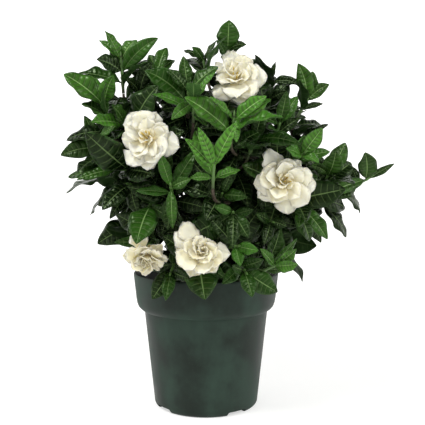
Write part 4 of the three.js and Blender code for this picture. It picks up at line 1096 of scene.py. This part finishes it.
class GARDENIA_OT_pot(bpy.types.Operator):
    """Spin the nursery pot, with its rolled collar, and cut its drain notches"""

    bl_idname = "gardenia.pot"
    bl_label = "Pot"

    def profile(self):
        """Half the pot's section, from the axis under the foot, up the outside and down the inside."""
        corner = FOOT_RADIUS - FOOT_EDGE
        angles = [math.radians(mix(-90, 0, i / 8)) for i in range(9)]
        lip = COLLAR_RADIUS - WALL_RADIUS
        return [
            (0, 0),
            *[(corner + FOOT_EDGE * math.cos(a), FOOT_EDGE + FOOT_EDGE * math.sin(a)) for a in angles],
            (WALL_RADIUS - 0.4, COLLAR_BOTTOM - 1),
            (WALL_RADIUS, COLLAR_BOTTOM + 0.6),
            (WALL_RADIUS + 2.2, COLLAR_BOTTOM),
            (WALL_RADIUS + lip * 0.45, COLLAR_BOTTOM + 1.4),
            (COLLAR_RADIUS - 2.4, COLLAR_BOTTOM + 4),
            (COLLAR_RADIUS - 1, COLLAR_BOTTOM + 7.5),
            (COLLAR_RADIUS, COLLAR_BOTTOM + 13),
            (RIM_RADIUS - 0.1, POT_HEIGHT - 2.4),
            (RIM_RADIUS, POT_HEIGHT - 1),
            (RIM_RADIUS - 0.25, POT_HEIGHT - 0.3),
            (RIM_RADIUS - 0.9, POT_HEIGHT),
            (RIM_RADIUS - POT_WALL + 0.3, POT_HEIGHT),
            (RIM_RADIUS - POT_WALL, POT_HEIGHT - 0.6),
            (COLLAR_RADIUS - POT_WALL, COLLAR_BOTTOM + 12),
            (WALL_RADIUS + 1.6, COLLAR_BOTTOM + 3.2),
            (WALL_RADIUS - POT_WALL, COLLAR_BOTTOM),
            (FOOT_RADIUS - POT_WALL, FOOT_ROUND + POT_WALL),
            (FOOT_RADIUS - FOOT_ROUND, POT_WALL),
            (0, POT_WALL),
        ]

    def cutters(self):
        """One block for each drain notch, a low arch in section."""
        bm = bmesh.new()
        half, corner = NOTCH_WIDTH / 2, NOTCH_HEIGHT * 0.55
        turns = [math.radians(18 * i) for i in range(6)]
        bends = [(corner * (1 - math.cos(a)), corner * (1 - math.sin(a))) for a in turns]
        right = [(half - inward, NOTCH_HEIGHT - down) for inward, down in bends]
        left = [(-x, z) for x, z in reversed(right)]
        depth = FOOT_RADIUS - FOOT_ROUND - 4
        outline = [(half, -1), *right, *left, (-half, -1)]
        arch = bm.faces.new([bm.verts.new((x * MM, -depth * MM, z * MM)) for x, z in outline])
        grown = bmesh.ops.extrude_face_region(bm, geom=[arch])["geom"]
        far = [part for part in grown if isinstance(part, bmesh.types.BMVert)]
        bmesh.ops.translate(bm, vec=(0, -NOTCH_REACH * MM, 0), verts=far)
        turn = Quaternion(UP, math.radians(NOTCH_FIRST)).to_matrix()
        bmesh.ops.rotate(bm, cent=(0, 0, 0), matrix=turn, verts=bm.verts)
        bmesh.ops.recalc_face_normals(bm, faces=bm.faces)
        steps = NOTCH_COUNT - 1
        copies = {"geom": bm.verts[:] + bm.edges[:] + bm.faces[:], "cent": (0, 0, 0), "axis": UP}
        bmesh.ops.spin(bm, angle=math.tau * steps / NOTCH_COUNT, steps=steps, use_duplicate=True, **copies)
        return mesh_object(bm, "notches", smooth=False)

    def execute(self, context):
        settings = context.scene.gardenia_pot
        bm = bmesh.new()
        lathe(bm, self.profile(), settings.sides)
        piece = finish_piece(bm, "pot_moulded", [pot_material(settings)], ["pot"])
        blocks = self.cutters()
        cut = piece.modifiers.new("notches", "BOOLEAN")
        cut.operation, cut.solver, cut.object = "DIFFERENCE", "EXACT", blocks
        context.view_layer.update()
        carved = bpy.data.meshes.new_from_object(piece.evaluated_get(context.evaluated_depsgraph_get()))
        piece.modifiers.clear()
        piece.data = carved
        bpy.data.objects.remove(blocks)
        carved.set_sharp_from_angle(angle=math.radians(38))
        return {"FINISHED"}


class GARDENIA_OT_mix(bpy.types.Operator):
    """Fill the pot with potting mix and strew bark chips and perlite on it"""

    bl_idname = "gardenia.mix"
    bl_label = "Potting mix"

    def execute(self, context):
        settings = context.scene.gardenia_mix
        bm, marks = new_mesh("shade")
        wall = RIM_RADIUS - POT_WALL - 2 * GAP - (POT_HEIGHT - MIX_LEVEL) * MIX_SLOPE
        lathe(bm, [
            (0, POT_WALL + GAP),
            (FOOT_RADIUS - FOOT_ROUND - 1, POT_WALL + GAP),
            (FOOT_RADIUS - POT_WALL - 0.6, FOOT_ROUND + 4),
            (WALL_RADIUS - POT_WALL - 1, COLLAR_BOTTOM - 2),
            (COLLAR_RADIUS - POT_WALL - 1.4, COLLAR_BOTTOM + 14),
            (wall, MIX_LEVEL - 3),
            *[(mix(wall - 1.5, CROWN_HOLE + 3, i / 22), MIX_LEVEL) for i in range(23)],
            (CROWN_HOLE, MIX_LEVEL - 3),
            (CROWN_HOLE, CROWN_BOTTOM - GAP),
            (0, CROWN_BOTTOM - GAP),
        ], 110)
        for vertex in bm.verts:
            if vertex.co.z > (MIX_LEVEL - 0.5) * MM:
                vertex.co.z += self.relief(vertex.co.x / MM, vertex.co.y / MM) * MM
        for i in range(settings.chips):
            self.strew(bm, marks, i)
        piece = finish_piece(bm, "mix_crumbly", [mix_material(settings)], ["potting_mix"])
        piece.data.set_sharp_from_angle(angle=math.radians(50))
        return {"FINISHED"}

    def relief(self, x, y):
        """Height of the crumbs above the level, in millimetres."""
        lumps = noise.fractal(Vector((x, y, 3)) / 9, 1.0, 2.0, 3)
        return 0.6 + 1.7 * lumps + 1.2 * math.cos(math.hypot(x, y) / 38)

    def strew(self, bm, marks, i):
        """One chip of bark, or one grain of perlite, lying half sunk in the surface."""
        key = (CHIP_DRAWS, i)
        bearing, reach = math.tau * draw(*key, 1), mix(*CHIP_REACH, math.sqrt(draw(*key, 2)))
        x, y = reach * math.cos(bearing), reach * math.sin(bearing)
        if draw(*key, 3) < GRAIN_SHARE:
            kind, slim, flat = 1.0, 0.9, 0.85
            size = mix(*GRAIN_SIZE, draw(*key, 4))
        else:
            kind, slim, flat = 0.5, 0.55, 0.35
            size = mix(*CHIP_SIZE, draw(*key, 5) ** 1.6)
        made = bmesh.ops.create_icosphere(bm, subdivisions=1, radius=1)["verts"]
        for vertex in made:
            vertex.co *= 1 + 0.35 * noise.noise(vertex.co * 1.7 + Vector((i, 0, 0)))
            vertex[marks["shade"]] = kind
        bmesh.ops.scale(bm, vec=(size, size * slim, size * flat), verts=made)
        tilt = Quaternion(Vector((1, 0, 0)), jitter(0.5, *key, 6)) @ Quaternion(UP, math.tau * draw(*key, 7))
        bmesh.ops.rotate(bm, cent=(0, 0, 0), matrix=tilt.to_matrix(), verts=made)
        height = MIX_LEVEL + self.relief(x, y) + size * flat * 0.25
        bmesh.ops.translate(bm, vec=(x, y, height), verts=made)
        bmesh.ops.scale(bm, vec=(MM, MM, MM), verts=made)


class GARDENIA_OT_wood(bpy.types.Operator):
    """Grow the root crown, the main branches and the twigs"""

    bl_idname = "gardenia.wood"
    bl_label = "Wood"

    def execute(self, context):
        bm, marks = new_mesh()
        branches = branch_curves()
        crown = straight(UP * CROWN_BOTTOM, UP * (CROWN_TOP + 1))
        knobbly = lambda share, turn: CROWN_RADIUS * (1 + 0.06 * math.sin(3 * turn + 9 * share)) - 0.6 * share
        sweep(bm, marks, crown, knobbly, 16, 8, {})
        for number, curve in enumerate(branches):
            self.limb(bm, marks, curve, BRANCH_RADIUS, 10, 22, number)
        for number, curve in enumerate(twig_curves(branches, all_shoots())):
            self.limb(bm, marks, curve, TWIG_RADIUS, 8, 14, number + 20)
        material = bark_material(context.scene.gardenia_shrub)
        finish_piece(bm, "wood_barked", [material], ["woody_branches"])
        return {"FINISHED"}

    def limb(self, bm, marks, curve, radii, sides, steps, number):
        """One branch or twig: it tapers, and old leaf scars swell it."""

        def radius(share, turn):
            scars = max(0, math.sin(share * 26 + number)) ** 6
            return mix(*radii, share) * (1 + 0.14 * scars + 0.05 * math.sin(2 * turn + 7 * share + number))

        sweep(bm, marks, lambda share: bezier(*curve, share), radius, sides, steps, {})


class GARDENIA_OT_shoots(bpy.types.Operator):
    """Grow the leafy shoots, each a green stem with its bud and whorls of leaves"""

    bl_idname = "gardenia.shoots"
    bl_label = "Leafy shoots"

    def execute(self, context):
        settings = context.scene.gardenia_shrub
        materials = [leaf_material(settings), green_stem_material(settings)]
        shoots = all_shoots()
        for shoot in shoots:
            self.grow(shoot, settings, materials)
        self.inner_leaves(shoots, settings, materials)
        return {"FINISHED"}

    def grow(self, shoot, settings, materials):
        bm, marks = new_mesh(*MARKS)
        for whorl, index, blade in grown_leaves(shoot):
            key = (shoot.id, whorl, index)
            young = clamp(shoot.young - 0.25 * whorl + jitter(0.15, *key, 11))
            # The leaf's shade mark is a random tone, darkened as painted shade where the leaf lies deep in
            # the shrub.
            self.leaf(bm, marks, blade, settings, young, draw(*key, 12) * painted_sunlight(blade.root))
        leaf_faces = len(bm.faces)
        foot = shoot.foot() + shoot.toward * GAP
        stem = lambda share, turn: mix(*SHOOT_RADIUS, share) * self.swelling(shoot, foot, share)
        sweep(bm, marks, straight(foot, shoot.at), stem, 8, 24, {"shade": 0.5})
        if shoot.flowers:
            self.calyx(bm, marks, shoot)
        else:
            self.bud(bm, marks, shoot)
        dress_rest(bm, leaf_faces)
        finish_piece(bm, shoot.name + "_leaves", materials, [shoot.name])

    def leaf(self, bm, marks, blade, settings, young, shade, rows=36, columns=8):
        """One leaf: its rows follow the side veins, forward from the midrib, and it bulges between them."""
        half_thick = settings.leaf / MM / 2

        def shape(along, across):
            off = abs(across)
            slanted = along + 0.1 * off**1.3 * math.sin(math.pi * along) * (1 - 0.4 * along)
            point, normal = blade.point(min(1, slanted), 0 if along > 0.999 else across)
            quilt = 0.5 - 0.5 * math.cos(math.tau * settings.pairs * along)
            relief = (0.24 + 0.5 * young) * quilt * math.sin(math.pi * clamp(off))
            relief *= math.sin(math.pi * along) ** 0.5
            if not 0 < along < 1:
                return point + normal * relief, normal, 0, 0
            thick = half_thick * (1 - off**4)
            rib = 0.75 * (1 - along) * ridge(off, 0.1)
            return point + normal * (relief - 0.3 * ridge(off, 0.12)), normal, thick, thick + rib

        lay_sheet(bm, marks, rows, columns, shape, {"young": young, "shade": shade})

    def swelling(self, shoot, foot, share):
        """How much the stem swells where a whorl joins it."""
        height = share * (shoot.at - foot).length
        places = [(shoot.whorl_place(whorl) - foot).length for whorl in range(shoot.whorls)]
        return 1 + 0.35 * ridge(min(abs(height - place) for place in places), 1.6)

    def bud(self, bm, marks, shoot):
        """The pointed bud at the tip, wrapped in its stipules."""
        line = straight(shoot.at - shoot.toward, shoot.at + shoot.toward * (BUD_LENGTH - 1))
        plump = lambda share: 1 + 0.5 * share * (1 - share)
        taper = lambda share, _: BUD_RADIUS * math.sqrt(max(0.0004, 1 - share)) * plump(share)
        sweep(bm, marks, line, taper, 8, 6, {"shade": 0.5})

    def calyx(self, bm, marks, shoot):
        """The ribbed green cup under a bloom."""
        line = straight(shoot.at - shoot.toward * CALYX, shoot.at)
        ribbed = lambda share, turn: mix(*CALYX_RADIUS, share) * (1 + 0.1 * math.cos(6 * turn))
        sweep(bm, marks, line, ribbed, 24, 8, {"shade": 0.5})

    def inner_leaves(self, shoots, settings, materials):
        """Older leaves on the twigs inside the shrub, in opposite pairs."""
        bm, marks = new_mesh(*MARKS)
        for shoot, twig in zip(shoots, twig_curves(branch_curves(), shoots)):
            length = (twig[3] - twig[0]).length
            for pair in range(min(INNER_PAIRS, int(length / INNER_STEP))):
                share = 1 - (INNER_FIRST + INNER_STEP * pair) / (length + INNER_FIRST)
                node, tangent = bezier(*twig, share), bezier_tangent(*twig, share)
                for side in (0, 1):
                    key = (INNER_DRAWS + shoot.id, pair, side)
                    blade = self.inner_blade(node, tangent, 90 * pair + 180 * side, key)
                    if self.has_room(blade):
                        # Inner leaves are painted darker than the shoots' leaves, and darker still deep in
                        # the shrub: painted shade.
                        shade = draw(*key, 7) * 0.6 * painted_sunlight(node)
                        self.leaf(bm, marks, blade, settings, 0, shade, rows=18, columns=6)
        finish_piece(bm, "leaves_inner", materials, [])

    def inner_blade(self, node, tangent, turn, key):
        out = around(tangent, turn + jitter(40, *key, 1))
        spread = math.radians(62 + jitter(12, *key, 2))
        heading = tangent * math.cos(spread) + out * math.sin(spread)
        length = INNER_LEAF + jitter(7, *key, 3)
        return Blade(
            root=node + out,
            heading=heading,
            facing=light_facing(node, tangent, heading),
            length=length,
            width=length * 0.46,
            rise=0.1,
            bend=0.9 + jitter(0.3, *key, 4),
            roll=0,
            twist=jitter(0.4, *key, 5),
            fold=0.25,
            curl=0.3,
            phase=6.283 * draw(*key, 6),
            **LEAF_EDGE,
        )

    def has_room(self, blade):
        """Whether a leaf stays inside the shrub and off the blooms, the pot and the mix."""
        for along in (0.3, 0.65, 1):
            point, _ = blade.point(along, 0)
            if point.z < MIX_LEVEL + 6 or point.y < INNER_FRONT:
                return False
            if point.z < POT_HEIGHT + 3 and math.hypot(point.x, point.y) > RIM_RADIUS - 12:
                return False
            if any((point - Vector(at)).length < petal + 4 for _, at, _, petal, *_ in BLOOMS):
                return False
        return True


class GARDENIA_OT_blooms(bpy.types.Operator):
    """Open the double blooms: whorls of ruffled petals round the stamens"""

    bl_idname = "gardenia.blooms"
    bl_label = "Blooms"

    def execute(self, context):
        settings = context.scene.gardenia_bloom
        materials = [petal_material(settings), anther_material(settings)]
        for number in range(len(BLOOMS)):
            self.open(number, settings, materials)
        return {"FINISHED"}

    def open(self, number, settings, materials):
        name, at, faces, _, opened, *_ = BLOOMS[number]
        axis, middle = Vector(faces).normalized(), Vector(at)
        bm, marks = new_mesh(*MARKS)
        for level, (count, *_) in enumerate(PETAL_WHORLS):
            for index in range(count):
                self.petal(bm, marks, settings, number, level, index)
        tube = straight(middle + axis * (GAP - BLOOM_DEPTH), middle + axis * (5 - CUP_DEPTH))
        flare = lambda share: mix(TUBE_RADIUS, CUP_RADIUS * 0.9, smoothstep(share, 0.35, 0.85))
        closed = lambda share, _: flare(share) * (1 - 0.5 * share**8)
        sweep(bm, marks, tube, closed, 16, 12, {"young": 1, "shade": 0.6})
        petal_faces = len(bm.faces)
        if opened > 0.8:
            self.stamens(bm, marks, middle, axis, number)
        dress_rest(bm, petal_faces)
        finish_piece(bm, name + "_petals", materials, [name])

    def petal(self, bm, marks, settings, number, level, index):
        """One petal: its tip is drawn out, its edge is ruffled and rolls back, and it is creased along."""
        key = (number, level, index)
        half_thick = settings.petal / MM / 2
        seed = Vector((number * 7.3, level * 3.1, index * 5.7))
        age = BLOOM_AGES[number]
        blade = petal_blade(*key)
        pointed = draw(*key, 22)
        if level == 0:
            pointed = mix(pointed, 1, mix(0.3, 1, age))
            blade.width *= 1 - 0.3 * pointed * age
        blade.outline = lambda along: petal_outline(along, pointed)
        rolls_back = mix(-0.6, 1.8, draw(*key, 23)) if level < PLACED_WHORLS else 0.2

        def shape(along, across):
            off = abs(across)
            across *= 1 + 0.24 * off**3 * noise.noise(Vector((along * 5, 3 if across > 0 else 7, 9)) + seed)
            peak = 1 - 0.09 * pointed * off**1.4 * smoothstep(along, 0.6, 0.95)
            point, normal = blade.point(along * peak, across)
            sway = noise.noise(Vector((along * 2.6, across * 1.7, 0)) + seed)
            frill = noise.noise(Vector((along * 7.5, across * 3.6, 4)) + seed) * off**2
            crease = -0.8 * ridge(across, 0.22) * (0.3 + pointed)
            rim = -rolls_back * (off**6 + smoothstep(along, 0.8, 1) ** 2) * smoothstep(along, 0.35, 0.7)
            ruffle = PETAL_RUFFLE[level] * (1.1 * sway + 1.5 * frill)
            crumple = smoothstep(along, 0.2, 0.8) * (ruffle + crease) + rim
            thick = half_thick * (1 - off**4) * smoothstep(1 - along, 0, 0.08) if 0 < along < 1 else 0
            return point + normal * crumple, normal, thick, thick

        young = 0.5 * age if level < PLACED_WHORLS else 0.6 + 0.4 * age
        lay_sheet(bm, marks, 20, 12, shape, {"young": young, "shade": 0.6 * draw(*key, 21) + age})

    def stamens(self, bm, marks, middle, axis, number):
        """Yellow anthers round a club-shaped stigma."""
        for i in range(STAMENS + 1):
            lean = 0.0 if i == STAMENS else 1.0
            out = around(axis, 51 * i + jitter(15, number, i, 31)) * lean
            base = middle - axis * 4 + out * 2.2
            tip = base + axis * mix(*STAMEN_LENGTH, draw(number, i, 32)) + out * 3.4
            plump = lambda share, _: 0.3 + 0.5 * math.sin(math.pi * clamp((share - 0.4) / 0.6)) ** 0.7
            sweep(bm, marks, straight(base, tip), plump, 6, 8, {"shade": 0.5})


class GARDENIA_OT_stage(bpy.types.Operator):
    """Lay the seamless paper and set the soft lights and the camera"""

    bl_idname = "gardenia.stage"
    bl_label = "Stage"

    def execute(self, context):
        settings = context.scene.gardenia_stage
        self.paper(settings)
        for name, place, size, share in LIGHTS:
            self.light(name, place, size, settings.power * share)
        self.sky(context, settings)
        self.camera(context)
        return {"FINISHED"}

    def paper(self, settings):
        """Seamless paper: a floor that curves up into a round wall, brightest behind and beside the plant."""
        bm, marks = new_mesh("glow_share")
        angles = [math.radians(90 * i / 12) for i in range(1, 13)]
        bend = [(FLOOR_REACH + WALL_BEND * math.sin(a), WALL_BEND * (1 - math.cos(a))) for a in angles]
        floor = [(FLOOR_REACH * i / 4, 0) for i in range(5)]
        wall = [(FLOOR_REACH + WALL_BEND, height) for height in WALL_HEIGHTS]
        lathe(bm, floor + bend + wall, 96)
        for vertex in bm.verts:
            reach = math.hypot(vertex.co.x, vertex.co.y) / MM
            behind = smoothstep(vertex.co.y / MM / max(reach, 1), -0.45, -0.1)
            # The paper's glow is painted light, strongest behind and beside the plant.
            glow_share = mix(settings.front, 1, behind)
            vertex[marks["glow_share"]] = mix(settings.under, glow_share, smoothstep(reach, LIT_FROM, LIT_FULLY))
        floor = mesh_object(bm, "floor_paper", [paper_material(settings)])

    def light(self, name, place, size, power):
        lamp = bpy.data.lights.new(name, "AREA")
        lamp.shape = "RECTANGLE"
        lamp.size, lamp.size_y = size
        lamp.energy = power
        holder = new_object(name, lamp)
        holder.location = Vector(place) * MM
        aim = UP * LIGHTS_AIM - Vector(place)
        holder.rotation_euler = aim.to_track_quat("-Z", "Y").to_euler()

    def sky(self, context, settings):
        world = bpy.data.worlds.new("white_room")
        world.use_nodes = True
        background = world.node_tree.nodes["Background"]
        background.inputs["Color"].default_value = (1, 1, 1, 1)
        background.inputs["Strength"].default_value = settings.sky
        context.scene.world = world
        context.scene.view_settings.view_transform = "Standard"

    def camera(self, context):
        """A little above the shrub's middle, looking slightly down."""
        camera = bpy.data.cameras.new("camera")
        camera.sensor_width = SENSOR
        camera.lens = LENS
        holder = new_object("camera", camera)
        holder.location = Vector(CAMERA_PLACE) * MM
        holder.rotation_euler = (math.radians(90 - CAMERA_DIP), 0, 0)
        context.scene.camera = holder


# Each group of settings, with the operators that use it.
SECTIONS = {
    "gardenia_pot": (PotSettings, [GARDENIA_OT_pot]),
    "gardenia_mix": (MixSettings, [GARDENIA_OT_mix]),
    "gardenia_shrub": (ShrubSettings, [GARDENIA_OT_wood, GARDENIA_OT_shoots]),
    "gardenia_bloom": (BloomSettings, [GARDENIA_OT_blooms]),
    "gardenia_stage": (StageSettings, [GARDENIA_OT_stage]),
}


class GARDENIA_PT_panel(bpy.types.Panel):
    bl_idname = "GARDENIA_PT_panel"
    bl_label = "Potted Gardenia"
    bl_space_type = "VIEW_3D"
    bl_region_type = "UI"
    bl_category = "Gardenia"

    def draw(self, context):
        for name, (group, operators) in SECTIONS.items():
            box = self.layout.box()
            for setting in group.__annotations__:
                box.prop(getattr(context.scene, name), setting)
            for operator in operators:
                box.operator(operator.bl_idname)


def register():
    for name, (group, operators) in SECTIONS.items():
        bpy.utils.register_class(group)
        setattr(bpy.types.Scene, name, PointerProperty(type=group))
        for operator in operators:
            bpy.utils.register_class(operator)
    bpy.utils.register_class(GARDENIA_PT_panel)


def unregister():
    bpy.utils.unregister_class(GARDENIA_PT_panel)
    for name, (group, operators) in reversed(SECTIONS.items()):
        for operator in reversed(operators):
            bpy.utils.unregister_class(operator)
        delattr(bpy.types.Scene, name)
        bpy.utils.unregister_class(group)


def main():
    register()
    bpy.ops.gardenia.stage()
    bpy.ops.gardenia.pot()
    bpy.ops.gardenia.mix()
    bpy.ops.gardenia.wood()
    bpy.ops.gardenia.shoots()
    bpy.ops.gardenia.blooms()


if __name__ == "__main__":
    main()
